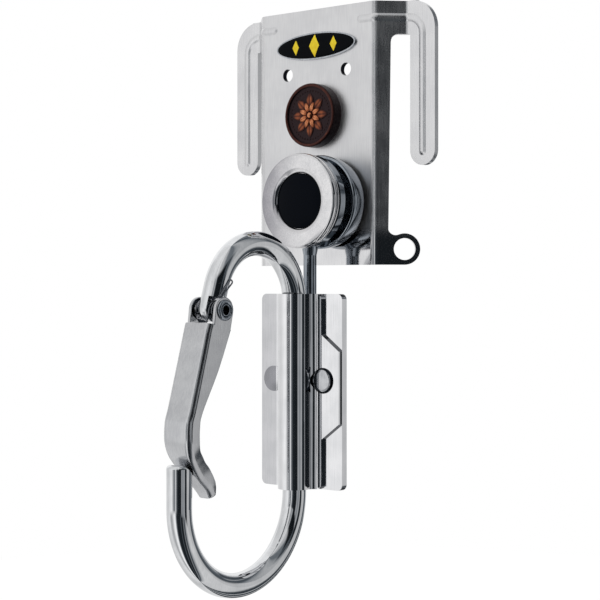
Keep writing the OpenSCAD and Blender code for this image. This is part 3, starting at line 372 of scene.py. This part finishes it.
# What a limit of wear measures: the place along an axis, how far aside of the middle, how far round
# the middle's axis along Y, or how squarely the surface faces along X or Z
def measureOf(tree, inMm, measure, middle):
    if measure in ("X", "Y", "Z"):
        source, axis = (inMm, "Vector"), measure
    elif measure.startswith("faces"):
        coords = addNode(tree, "ShaderNodeTexCoord")
        facing = addNode(tree, "ShaderNodeVectorMath", {"operation": "ABSOLUTE"}, {0: (coords, "Normal")})
        source, axis = (facing, "Vector"), measure[-1]
    else:
        off = addNode(tree, "ShaderNodeVectorMath", {"operation": "SUBTRACT"},
                      {0: (inMm, "Vector"), 1: middle})
        kept = (1, 0, 1) if measure == "round" else (1, 0, 0)
        flat = addNode(tree, "ShaderNodeVectorMath", {"operation": "MULTIPLY"}, {0: (off, "Vector"), 1: kept})
        return addNode(tree, "ShaderNodeVectorMath", {"operation": "LENGTH"}, {0: (flat, "Vector")}), "Value"
    return addNode(tree, "ShaderNodeSeparateXYZ", inputs={"Vector": source}), axis


sharpLimits = {"above": "GREATER_THAN", "below": "LESS_THAN"}


# How far a stretch of wear or of painted shade covers the surface, from 0 to 1: the product of its limits
def wearAndShadeShare(tree, inMm, worn):
    share = 1.0
    for measure, start, full in worn["where"]:
        measured = measureOf(tree, inMm, measure, worn.get("middle", (0, 0, 0)))
        if start in sharpLimits:
            limit = addNode(tree, "ShaderNodeMath", {"operation": sharpLimits[start]}, {0: measured, 1: full})
        else:
            limit = addNode(tree, "ShaderNodeMapRange", {"interpolation_type": "SMOOTHSTEP"},
                            {"Value": measured, "From Min": start, "From Max": full})
        share = (addNode(tree, "ShaderNodeMath", {"operation": "MULTIPLY"}, {0: share, 1: (limit, 0)}), 0)
    return share


def steelMaterial(name):
    look, skin = steelLooks[name], steelSkin
    material, tree, inMm = startMaterial(name)
    clouds = addNode(tree, "ShaderNodeTexNoise",
                     inputs={"Vector": (inMm, "Vector"), "Scale": 1 / look["cloud"], "Detail": 4})
    stretched = addNode(tree, "ShaderNodeMapping",
                        inputs={"Vector": (inMm, "Vector"), "Scale": look["grain"]})
    grain = addNode(tree, "ShaderNodeTexNoise",
                    inputs={"Vector": (stretched, "Vector"), "Scale": 1, "Detail": 3})
    mixed = addNode(tree, "ShaderNodeMix", {"data_type": "FLOAT"},
                    {0: skin["grainShare"], 2: (clouds, 0), 3: (grain, 0)})
    spread = addNode(tree, "ShaderNodeMapRange", {"interpolation_type": "SMOOTHSTEP"},
                     {"Value": (mixed, 0), "From Min": skin["tintFrom"][0], "From Max": skin["tintFrom"][1]})
    tint = addNode(tree, "ShaderNodeMix", {"data_type": "RGBA"},
                   {0: (spread, 0), 6: linearColour(look["dark"]), 7: linearColour(look["light"])})
    rough = addNode(tree, "ShaderNodeMapRange",
                    inputs={"Value": (mixed, 0), "From Min": skin["roughFrom"][0],
                            "From Max": skin["roughFrom"][1], "To Min": look["rough"][0],
                            "To Max": look["rough"][1]})
    waves = addNode(tree, "ShaderNodeTexNoise",
                    inputs={"Vector": (inMm, "Vector"), "Scale": 1 / look["wave"], "Detail": 1})
    buckle = addNode(tree, "ShaderNodeBump",
                     inputs={"Height": (waves, 0), "Distance": look["waveDepth"] * mm, "Strength": 1})
    lines = addNode(tree, "ShaderNodeBump",
                    inputs={"Height": (grain, 0), "Distance": look["grainDepth"] * mm, "Strength": 1,
                            "Normal": (buckle, "Normal")})
    for worn in look.get("wearAndPaintedShade", []):
        share = wearAndShadeShare(tree, inMm, worn)
        # a flat tint over the stretch; inside the gate's channel, on the bracket's edges and round the right rivet
        # it is painted shade
        if "tint" in worn:
            tint = addNode(tree, "ShaderNodeMix", {"data_type": "RGBA"},
                           {0: share, 6: (tint, 2), 7: linearColour(worn["tint"])})
        # painted shade: this multiplies the colour down over the stretch
        if "paintedShade" in worn:
            tint = addNode(tree, "ShaderNodeMix", {"data_type": "RGBA", "blend_type": "MULTIPLY"},
                           {0: share, 6: (tint, 2), 7: linearColour(worn["paintedShade"])})
        if "rough" in worn:
            rough = addNode(tree, "ShaderNodeMix", {"data_type": "FLOAT"},
                            {0: share, 2: (rough, 0), 3: worn["rough"]})
        if "rougher" in worn:
            rough = addNode(tree, "ShaderNodeMath", {"operation": "MULTIPLY_ADD"},
                            {0: share, 1: worn["rougher"], 2: (rough, 0)})
    shader = addNode(tree, "ShaderNodeBsdfPrincipled",
                     inputs={"Base Color": (tint, 2), "Metallic": 1, "Roughness": (rough, 0),
                             "Normal": (lines, "Normal")})
    addNode(tree, "ShaderNodeOutputMaterial", inputs={"Surface": (shader, 0)})
    return material


# Vitreous enamel of the label: glassy, nearly flat, with a breath of orange peel
enamelLooks = {
    "navy black vitreous enamel": {"light": "#05080D", "dark": "#020304", "rough": 0.05},
    "yellow vitreous enamel": {"light": "#F0DE3E", "dark": "#C9A227", "rough": 0.1},
}
enamelSkin = {"cloud": 1.667, "peel": 0.714, "peelDepth": 0.006, "ior": 1.52, "specular": 0.04}


def enamelMaterial(name):
    look, skin = enamelLooks[name], enamelSkin
    material, tree, inMm = startMaterial(name)
    clouds = addNode(tree, "ShaderNodeTexNoise",
                     inputs={"Vector": (inMm, "Vector"), "Scale": 1 / skin["cloud"], "Detail": 3})
    tint = addNode(tree, "ShaderNodeMix", {"data_type": "RGBA"},
                   {0: (clouds, 0), 6: linearColour(look["dark"]), 7: linearColour(look["light"])})
    worn = addNode(tree, "ShaderNodeMapRange",
                   inputs={"Value": (clouds, 0), "To Min": look["rough"], "To Max": look["rough"] * 2})
    peel = addNode(tree, "ShaderNodeTexNoise",
                   inputs={"Vector": (inMm, "Vector"), "Scale": 1 / skin["peel"]})
    bumps = addNode(tree, "ShaderNodeBump",
                    inputs={"Height": (peel, 0), "Distance": skin["peelDepth"] * mm, "Strength": 1})
    shader = addNode(tree, "ShaderNodeBsdfPrincipled",
                     inputs={"Base Color": (tint, 2), "Roughness": (worn, 0), "IOR": skin["ior"],
                             "Specular IOR Level": skin["specular"], "Normal": (bumps, "Normal")})
    addNode(tree, "ShaderNodeOutputMaterial", inputs={"Surface": (shader, 0)})
    return material


# Antiqued copper: a black-brown patina lies in the low places and the high ones are rubbed back
# to copper, so the tint follows the depth behind the button's crown. The number beside a finish is
# how far it was rubbed back.
copperLooks = {"antiqued copper, patina left on": 0.36, "antiqued copper, rubbed back": 1}
antiqued = {
    "crown": -9.2, "ground": -8.55,    # where the tint is highest and lowest, along Y
    "tints": [(0.1, "#32282A"), (0.4, "#50302A"), (0.7, "#A8603F"), (1, "#D08A62")],
    "rough": (0.42, 0.24), "blotch": 1.111, "uneven": 0.5,
    "pit": 0.588, "pitEdge": (0.1, 0.4), "pitDepth": 0.1, "pitStrength": 0.7,
}


def copperMaterial(name):
    look = antiqued
    material, tree, inMm = startMaterial(name)
    parts = addNode(tree, "ShaderNodeSeparateXYZ", inputs={"Vector": (inMm, "Vector")})
    high = addNode(tree, "ShaderNodeMapRange",
                   inputs={"Value": (parts, "Y"), "From Min": look["ground"], "From Max": look["crown"]})
    blotch = addNode(tree, "ShaderNodeTexNoise",
                     inputs={"Vector": (inMm, "Vector"), "Scale": 1 / look["blotch"], "Detail": 4})
    shifted = addNode(tree, "ShaderNodeMath", {"operation": "MULTIPLY_ADD"},
                      {0: (blotch, 0), 1: look["uneven"], 2: copperLooks[name] - look["uneven"] / 2})
    level = addNode(tree, "ShaderNodeMath", {"operation": "MULTIPLY"}, {0: (high, 0), 1: (shifted, 0)})
    tint = addNode(tree, "ShaderNodeValToRGB", inputs={"Fac": (level, 0)},
                   stops=[(spot, linearColour(hexCode)) for spot, hexCode in look["tints"]])
    rough = addNode(tree, "ShaderNodeMapRange",
                    inputs={"Value": (level, 0), "To Min": look["rough"][0], "To Max": look["rough"][1]})
    pits = addNode(tree, "ShaderNodeTexVoronoi",
                   inputs={"Vector": (inMm, "Vector"), "Scale": 1 / look["pit"]})
    rim = addNode(tree, "ShaderNodeMapRange",
                  inputs={"Value": (pits, "Distance"), "From Min": look["pitEdge"][0],
                          "From Max": look["pitEdge"][1]})
    punched = addNode(tree, "ShaderNodeBump",
                      inputs={"Height": (rim, 0), "Distance": look["pitDepth"] * mm,
                              "Strength": look["pitStrength"]})
    shader = addNode(tree, "ShaderNodeBsdfPrincipled",
                     inputs={"Base Color": (tint, "Color"), "Metallic": 1, "Roughness": (rough, 0),
                             "Normal": (punched, "Normal")})
    addNode(tree, "ShaderNodeOutputMaterial", inputs={"Surface": (shader, 0)})
    return material


# Injection moulded acetal of the cap: deep black and shiny. Its speckle is as fine as dust, and is
# drawn coarser here so that it shows.
acetal = {"light": "#050912", "dark": "#010307", "rough": (0.08, 0.22), "speckle": 0.4545,
          "speckleDepth": 0.004, "ior": 1.48, "specular": 0.04}


def acetalMaterial(name):
    material, tree, inMm = startMaterial(name)
    speckle = addNode(tree, "ShaderNodeTexNoise",
                      inputs={"Vector": (inMm, "Vector"), "Scale": 1 / acetal["speckle"], "Detail": 5})
    tint = addNode(tree, "ShaderNodeMix", {"data_type": "RGBA"},
                   {0: (speckle, 0), 6: linearColour(acetal["dark"]), 7: linearColour(acetal["light"])})
    rough = addNode(tree, "ShaderNodeMapRange",
                    inputs={"Value": (speckle, 0), "To Min": acetal["rough"][0],
                            "To Max": acetal["rough"][1]})
    skin = addNode(tree, "ShaderNodeBump",
                   inputs={"Height": (speckle, 0), "Distance": acetal["speckleDepth"] * mm, "Strength": 1})
    shader = addNode(tree, "ShaderNodeBsdfPrincipled",
                     inputs={"Base Color": (tint, 2), "Roughness": (rough, 0), "IOR": acetal["ior"],
                             "Specular IOR Level": acetal["specular"], "Normal": (skin, "Normal")})
    addNode(tree, "ShaderNodeOutputMaterial", inputs={"Surface": (shader, 0)})
    return material


materials = {name: steelMaterial(name) for name in steelLooks}
for name in enamelLooks:
    materials[name] = enamelMaterial(name)
for name in copperLooks:
    materials[name] = copperMaterial(name)
materials["moulded black acetal"] = acetalMaterial("moulded black acetal")
print("materials made:", len(materials))

# Which CAD nodes wear which finish
finishes = {
    "satin 304 stainless sheet": ["belt_plate"],
    "mirror polished stainless": ["bracket_front_cover", "bracket_middle_plate", "bracket_rear_cover",
                                  "bracket_rivets"],
    "bright chrome plate": ["carabiner_ring"],
    # the eye and the rear flange wear chrome darkened as painted dark reflection
    "chrome plate with painted dark reflection": ["hanger_eye", "drum_rear_flange"],
    "tumbled stainless": ["gate_channel"],
    "turned stainless": ["drum_front_disc", "drum_rivet_washer", "gate_far_washer"],
    "zinc plated steel": ["label_plate", "concho_screw", "drum_screw", "shank_collar",
                          "hanger_front_washer", "hanger_rear_washer"],
    "oil blacked steel": ["drum_back_washer", "drum_spacer", "gate_pivot_rivet"],
    "drawn spring steel": ["gate_spring"],
    "turned brass": ["drum_bush", "thrust_washer"],
    "navy black vitreous enamel": ["label_enamel"],
    "yellow vitreous enamel": ["label_marks"],
    "antiqued copper, patina left on": ["concho_body"],
    "antiqued copper, rubbed back": ["concho_rosette"],
    "moulded black acetal": ["drum_cap"],
}


def dressNode(node, material):
    cadNode = frame["nodes"][node]
    if not cadNode.material_slots:
        cadNode.data.materials.append(material)
    for cadSlot in cadNode.material_slots:
        cadSlot.material = material


for finish, nodes in finishes.items():
    for node in nodes:
        dressNode(node, materials[finish])
print("every CAD node has its finish")


# Leaves one object selected and active, because every operator acts on what is selected
def pickOnly(piece):
    if bpy.context.mode != "OBJECT":
        bpy.ops.object.mode_set(mode="OBJECT")
    bpy.ops.object.select_all(action="DESELECT")
    piece.select_set(True)
    bpy.context.view_layer.objects.active = piece


# Places a finished piece's turn, size and position in its mesh, and hands it to its body. A piece
# that already wears its materials is given none.
def handOver(piece, name, body, material, replaced):
    pickOnly(piece)
    bpy.ops.object.transform_apply(location=True, rotation=True, scale=True)
    piece.name = name
    piece.data.name = name
    if material:
        piece.data.materials.clear()
        piece.data.materials.append(material)
    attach(piece, body)
    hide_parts(replaced)


# The gate's stamped sheet, whose sharp edges the tumbler has rounded. Its walls stand this far to
# each side of the hinge, and points that lie near one are set on it, so that each wall is flat.
gateSheet = {
    "edge": 0.32, "steps": 3,
    "sharp": 50,     # degrees between faces from which an edge is rounded
    "smooth": 24,    # degrees below which neighbouring faces are one curved surface
    "walls": (5.9, 4.7), "near": 0.05, "merge": 0.002,
}


def buildGateSheet():
    look = gateSheet
    source = frame["nodes"]["gate_channel"]
    piece = source.copy()
    piece.data = source.data.copy()
    for key in [key for key in piece.keys() if key.startswith("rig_")]:
        del piece[key]
    piece.parent = None
    piece.matrix_world = Matrix.Identity(4)
    bpy.context.scene.collection.objects.link(piece)
    middle = jointAt["gate_hinge"].x
    for point in piece.data.vertices:
        off = point.co.x / mm - middle
        for wall in look["walls"]:
            if abs(abs(off) - wall) < look["near"]:
                point.co.x = (middle + math.copysign(wall, off)) * mm
    pickOnly(piece)
    bpy.ops.mesh.customdata_custom_splitnormals_clear()
    bpy.ops.object.mode_set(mode="EDIT")
    bpy.ops.mesh.select_all(action="SELECT")
    bpy.ops.mesh.remove_doubles(threshold=look["merge"] * mm)
    bpy.ops.mesh.dissolve_degenerate(threshold=look["merge"] * mm)
    bpy.ops.mesh.normals_make_consistent(inside=False)
    bpy.ops.object.mode_set(mode="OBJECT")
    rounding = piece.modifiers.new("rounding", "BEVEL")
    rounding.width = look["edge"] * mm
    rounding.segments = look["steps"]
    rounding.limit_method = "ANGLE"
    rounding.angle_limit = math.radians(look["sharp"])
    rounding.use_clamp_overlap = False
    bpy.ops.object.modifier_apply(modifier=rounding.name)
    bpy.ops.object.shade_smooth_by_angle(angle=math.radians(look["smooth"]))
    flats = piece.modifiers.new("flats", "WEIGHTED_NORMAL")
    flats.keep_sharp = True
    bpy.ops.object.modifier_apply(modifier=flats.name)
    handOver(piece, "gateSheet", bodyOf["gate_channel"], materials["tumbled stainless"],
             "gate_channel")


buildGateSheet()
print("gate's edges broken")

# What all turned pieces share: points closer than merge are one, and smooth is in degrees
turned = {"merge": 0.001, "smooth": 32}


# Turns a profile of (depth, radius) points, in millimetres along and from an axis through a point.
# Each ring of edges is extruded from the last one and resized; a profile that comes back to its
# first point closes on itself, and any other gets a flat end.
def turnProfile(profile, at, axis, sides):
    along = Vector((1, 0, 0)) if axis == "X" else Vector((0, 1, 0))
    tilt = (0, math.radians(90), 0) if axis == "X" else (math.radians(90), 0, 0)
    depth, radius = profile[0]
    bpy.ops.object.select_all(action="DESELECT")
    bpy.ops.mesh.primitive_circle_add(vertices=sides, radius=radius * mm, fill_type="NOTHING",
                                      rotation=tilt, location=(at + along * depth) * mm)
    piece = bpy.context.object
    pickOnly(piece)
    bpy.ops.object.mode_set(mode="EDIT")
    bpy.ops.mesh.select_all(action="SELECT")
    for nextDepth, nextRadius in profile[1:]:
        step = along * (nextDepth - depth) * mm
        bpy.ops.mesh.extrude_edges_move(TRANSFORM_OT_translate={"value": step})
        size = nextRadius / radius
        bpy.ops.transform.resize(value=(size, size, size), center_override=(at + along * nextDepth) * mm)
        depth, radius = nextDepth, nextRadius
    bpy.ops.mesh.select_all(action="SELECT")
    bpy.ops.mesh.remove_doubles(threshold=turned["merge"] * mm)
    bpy.ops.mesh.fill_holes(sides=0)
    bpy.ops.mesh.select_all(action="SELECT")
    bpy.ops.mesh.normals_make_consistent(inside=False)
    bpy.ops.object.mode_set(mode="OBJECT")
    bpy.ops.object.shade_smooth_by_angle(angle=math.radians(turned["smooth"]))
    return piece


# Points of an elliptic arc in a profile: middle and half sizes as (depth, radius), angles in degrees
# from the radius' direction towards the depth's
def arc(middle, half, start, end, steps=8):
    turn = [math.radians(start + (end - start) * i / steps) for i in range(steps + 1)]
    return [(middle[0] + half[0] * math.sin(a), middle[1] + half[1] * math.cos(a)) for a in turn]


# The axis of the drum's stack, and the bore of its discs round the screw
drum = {"axis": jointAt["hanger_swing"] * Vector((1, 0, 1)), "bore": 3.03, "sides": 144}

# Front disc: two rolled beads make its rim, and its flat satin face rolls down over a lip into the
# cap's recess. The beads and the lip are half sizes along the axis and outwards.
frontDisc = {"backBead": (0.55, 0.65), "backStep": 0.05, "frontBead": 0.9, "lip": (1.5, 2.1), "capGap": 0.1}


def buildFrontDisc():
    low, high = boxOf("drum_front_disc")
    capLow, capHigh = boxOf("drum_cap")
    face, back, floor = low.y, high.y, capHigh.y
    radius = (high.x - low.x) / 2
    recess = (capHigh.x - capLow.x) / 2 + frontDisc["capGap"]
    deep, rise = frontDisc["backBead"]
    groove = back - 2 * deep
    bead = ((groove - face) / 2, frontDisc["frontBead"])
    lip = frontDisc["lip"]
    profile = [(floor, drum["bore"]), (back, drum["bore"])]
    profile += arc((back - deep, radius - frontDisc["backStep"] - rise), (deep, rise), 90, -90)
    profile += arc((face + bead[0], radius - bead[1]), bead, 90, -90, 12)
    profile += arc((face + lip[0], recess + lip[1]), (-lip[0], -lip[1]), 90, 0, 14)
    profile += [(floor, recess), (floor, drum["bore"])]
    disc = turnProfile(profile, drum["axis"], "Y", drum["sides"])
    handOver(disc, "frontDisc", "belt_hanger", materials["turned stainless"],
             "drum_front_disc")


# Rear flange: a broad rim with a rounded front corner that falls gently back towards the plate
rearFlange = {"corner": 0.9, "fall": 0.8}


def buildRearFlange():
    low, high = boxOf("drum_rear_flange")
    radius = (high.x - low.x) / 2
    corner, fall = rearFlange["corner"], rearFlange["fall"]
    shoulder = low.y + corner
    reach = high.y - shoulder
    crown = (reach ** 2 + fall ** 2) / (2 * fall)
    profile = [(high.y, drum["bore"]), (low.y, drum["bore"])]
    profile += arc((shoulder, radius - corner), (-corner, corner), 90, 0)
    turn = math.degrees(math.asin(reach / crown))
    profile += arc((shoulder, radius - crown), (crown, crown), 0, turn, 12)[1:]
    profile += [(high.y, drum["bore"])]
    flange = turnProfile(profile, drum["axis"], "Y", drum["sides"])
    handOver(flange, "rearFlange", "belt_hanger", materials["chrome plate with painted dark reflection"],
             "drum_rear_flange")


# Pivot rivet: a bored shank with both ends rolled outwards. Each end has a seat on the gate's ear, a
# bead, a valley and a small collar round the bore. Points are (from the gate's middle, radius).
pivotRivet = {
    "seat": 5.93, "shank": 2.0, "seatRadius": 3.1,
    "bead": (6.17, 2.72), "beadHalf": (0.58, 0.62), "beadTurn": (-20, 170), "valley": (6.1, 1.98),
    "collar": (6.2, 1.72), "collarHalf": (0.42, 0.24), "collarTurn": (10, 180),
    "bore": (5.6, 1.4), "sides": 64,
}


def buildPivotRivet():
    r = pivotRivet
    head = [(r["seat"], r["shank"]), (r["seat"], r["seatRadius"])]
    head += arc(r["bead"], r["beadHalf"], *r["beadTurn"], 16) + [r["valley"]]
    head += arc(r["collar"], r["collarHalf"], *r["collarTurn"], 10) + [r["bore"]]
    profile = head + [(-depth, radius) for depth, radius in reversed(head)] + [head[0]]
    rivet = turnProfile(profile, jointAt["gate_hinge"], "X", r["sides"])
    handOver(rivet, "pivotRivet", "carabiner", materials["chrome plate with painted dark reflection"],
             "gate_pivot_rivet")


# Bracket rivets: the left one was set flat and the right one keeps its domed head. Depths are along
# Y, and tip is the flat middle of a turned end.
bracketRivets = {
    "seat": -21.95, "shank": 2.0, "tip": 0.4, "headRadius": 4.3,
    "flat": -22.2, "flatEdge": (0.08, 0.15),
    "dome": (-22.05, 2.7), "domeHalf": (-0.78, 1.6), "crown": (-22.84, 1.4),
    "rearSeat": -18.2, "rearRadius": 3.4, "rearEdge": 0.2, "sides": 72,
}


def buildBracketRivets():
    r = bracketRivets
    low, high = boxOf("bracket_rivets")
    rearEdge = high.y - r["rearEdge"]
    back = [(r["seat"], r["headRadius"]), (r["seat"], r["shank"]), (r["rearSeat"], r["shank"]),
            (r["rearSeat"], r["rearRadius"]), (rearEdge, r["rearRadius"]),
            (high.y, r["rearRadius"] - r["rearEdge"]), (high.y, r["tip"])]
    flat = [(r["flat"], r["tip"]), (r["flat"], r["headRadius"] - r["flatEdge"][1]),
            (r["flat"] + r["flatEdge"][0], r["headRadius"])]
    domed = [(low.y, r["tip"]), r["crown"]] + arc(r["dome"], r["domeHalf"], 90, 0, 12)
    rivets = []
    for front, x, finish in ((flat, low.x + r["headRadius"], "scuffed rivet steel with painted shade"),
                             (domed, high.x - r["headRadius"], "snapped rivet steel with painted shadow ring")):
        rivet = turnProfile(front + back, Vector((x, 0, (low.z + high.z) / 2)), "Y", r["sides"])
        rivet.data.materials.append(materials[finish])
        rivets.append(rivet)
    left, right = rivets
    pickOnly(right)
    left.select_set(True)
    bpy.ops.object.join()
    handOver(right, "bracketRivets", "carabiner", None, "bracket_rivets")


buildFrontDisc()
buildRearFlange()
buildPivotRivet()
buildBracketRivets()
print("disc, flange and rivets turned")

# The gate's spring, wound from one wire: a leg on the web, two turns round the rivet, a hairpin. The
# hairpin's strands run together at a share of its width and length.
spring = {
    "coilRadius": 2.9, "turns": 2, "pitch": 1.15, "startAngle": 164, "endAngle": 132,
    "coilSteps": 96, "wire": 0.5, "legLength": 9, "legBend": 6.75,
    "hairpinLength": 9.2, "hairpinWidth": 1.3, "hairpinEnd": 2.3, "hairpinSteps": 14,
    "closedShare": 0.55, "outFromMiddle": 4.35, "blendReach": 5.5, "merge": 0.002, "smooth": 50,
}


# A unit vector in the carabiner's plane
def inPlane(degrees):
    return Vector((0, math.cos(math.radians(degrees)), math.sin(math.radians(degrees))))


def springPath():
    s = spring
    pivot = jointAt["gate_hinge"]
    sweep = 360 * s["turns"] + s["startAngle"] - s["endAngle"]
    rise = s["pitch"] * sweep / 360
    coil = []
    for i in range(s["coilSteps"] + 1):
        share = i / s["coilSteps"]
        out = Vector((s["outFromMiddle"] - rise * (1 - share), 0, 0))
        coil.append(pivot + s["coilRadius"] * inPlane(s["startAngle"] - sweep * share) + out)
    down = inPlane(s["startAngle"] + 90)
    leg = [coil[0] + down * s["legLength"] - inPlane(s["startAngle"] + 180) * s["wire"],
           coil[0] + down * s["legBend"]]
    along, side = inPlane(s["endAngle"] - 90), inPlane(s["endAngle"])
    half = s["hairpinWidth"] / 2
    middle = coil[-1] + side * half
    # the two strands run together low down and open to a teardrop at the tip
    loop = [middle + along * (s["hairpinLength"] + math.sin(a) * half) - side * math.cos(a) * half
            for a in (math.pi * i / s["hairpinSteps"] for i in range(s["hairpinSteps"] + 1))]
    back = [middle + (side * half + along * s["hairpinLength"]) * s["closedShare"],
            middle + along * s["hairpinEnd"]]
    return [p * mm for p in leg + coil + loop + back]


def buildSpring():
    bpy.ops.curve.primitive_nurbs_path_add()
    wire = bpy.context.object
    points = springPath()
    wire.data.splines.clear()
    run = wire.data.splines.new("NURBS")
    run.points.add(len(points) - 1)
    for knot, point in zip(run.points, points):
        knot.co = (*point, 1)
    run.order_u = 3
    run.use_endpoint_u = True
    wire.data.resolution_u = 2
    wire.data.bevel_depth = spring["wire"] / 2 * mm
    wire.data.bevel_resolution = 3
    wire.data.use_fill_caps = True
    pickOnly(wire)
    bpy.ops.object.convert(target="MESH")
    bpy.ops.object.mode_set(mode="EDIT")
    bpy.ops.mesh.select_all(action="SELECT")
    bpy.ops.mesh.remove_doubles(threshold=spring["merge"] * mm)
    bpy.ops.mesh.normals_make_consistent(inside=False)
    bpy.ops.object.mode_set(mode="OBJECT")
    bpy.ops.object.shade_smooth_by_angle(angle=math.radians(spring["smooth"]))
    pickOnly(wire)
    bpy.ops.object.transform_apply(location=True, rotation=True, scale=True)
    wire.name = wire.data.name = "springWire"
    wire.data.materials.append(materials["drawn spring steel"])
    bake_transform(wire)
    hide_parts("gate_spring")


buildSpring()
print("spring wound")

# The concho's relief, an eight-petalled flower of two rows in a ring of beads, on a punched ground.
# A petal narrows from taperFrom of its length, by taper at its tip, and has a groove down its front.
relief = {
    "sink": 0.12, "smooth": 60,
    "petals": [{"count": 8, "reach": 5.3, "long": 2.7, "wide": 1.8, "high": 0.62, "turn": 0},
               {"count": 8, "reach": 3.0, "long": 2.0, "wide": 1.15, "high": 0.95, "turn": 22.5}],
    "petalFaces": (20, 12), "taperFrom": 0.55, "taper": 0.75, "fullness": 0.3,
    "grooveDepth": 0.3, "grooveWidth": 0.22,
    "boss": {"radius": 1.15, "faces": (20, 12)},
    "beads": {"count": 44, "reach": 8.35, "radius": 0.34, "faces": (8, 6)},
    "studs": {"count": 150, "radius": 0.13, "inner": 3.4, "outer": 7.6, "turn": 2.39996, "stray": 0.2,
              "seed": 7, "faces": (6, 4)},
}


# One petal pointing up from the flower's middle: a flattened ball drawn out to a tip, with a groove
def addPetal(row, angle):
    r = relief
    bpy.ops.mesh.primitive_uv_sphere_add(segments=r["petalFaces"][0], ring_count=r["petalFaces"][1], radius=1)
    petal = bpy.context.object
    for point in petal.data.vertices:
        x, y, z = point.co
        along = (z + 1) / 2
        past = max(0, along - r["taperFrom"]) / (1 - r["taperFrom"])
        width = 1 - r["taper"] * past * (1 - r["fullness"] * along)
        groove = r["grooveDepth"] * math.exp(-(x / r["grooveWidth"]) ** 2) if y < 0 else 0
        point.co = (x * row["wide"] * width, y * row["high"] * (1 - groove), z * row["long"] + row["reach"])
    petal.matrix_world = Matrix.Rotation(math.radians(angle), 4, "Y")
    return petal


# A ball in the flower's plane: reach from its middle, angle in radians
def addBall(kind, reach, angle):
    segments, rings = kind["faces"]
    bpy.ops.mesh.primitive_uv_sphere_add(segments=segments, ring_count=rings, radius=kind["radius"],
                                         location=(reach * math.sin(angle), 0, reach * math.cos(angle)))
    return bpy.context.object


def buildRelief():
    parts = []
    for row in relief["petals"]:
        for i in range(row["count"]):
            parts.append(addPetal(row, row["turn"] + 360 * i / row["count"]))
    boss, beads, studs = relief["boss"], relief["beads"], relief["studs"]
    parts.append(addBall(boss, 0, 0))
    for i in range(beads["count"]):
        parts.append(addBall(beads, beads["reach"], 2 * math.pi * i / beads["count"]))
    scatter = random.Random(studs["seed"])
    for i in range(studs["count"]):
        angle = i * studs["turn"] + scatter.uniform(-studs["stray"], studs["stray"])
        spread = (studs["outer"] ** 2 - studs["inner"] ** 2) * i / studs["count"]
        reach = math.sqrt(studs["inner"] ** 2 + spread)
        parts.append(addBall(studs, reach, angle))
    bpy.ops.object.select_all(action="DESELECT")
    for part in parts:
        part.select_set(True)
    bpy.context.view_layer.objects.active = parts[0]
    bpy.ops.object.transform_apply(location=True, rotation=True, scale=True)
    bpy.ops.object.join()
    flower = bpy.context.object
    low, high = boxOf("concho_rosette")
    flower.scale = (mm, mm, mm)
    flower.location = Vector(((low.x + high.x) / 2, high.y + relief["sink"], (low.z + high.z) / 2)) * mm
    handOver(flower, "conchoFlower", "belt_hanger",
             materials["antiqued copper, rubbed back"], "concho_rosette")
    bpy.ops.object.shade_smooth_by_angle(angle=math.radians(relief["smooth"]))


buildRelief()
print("concho's flower is in")
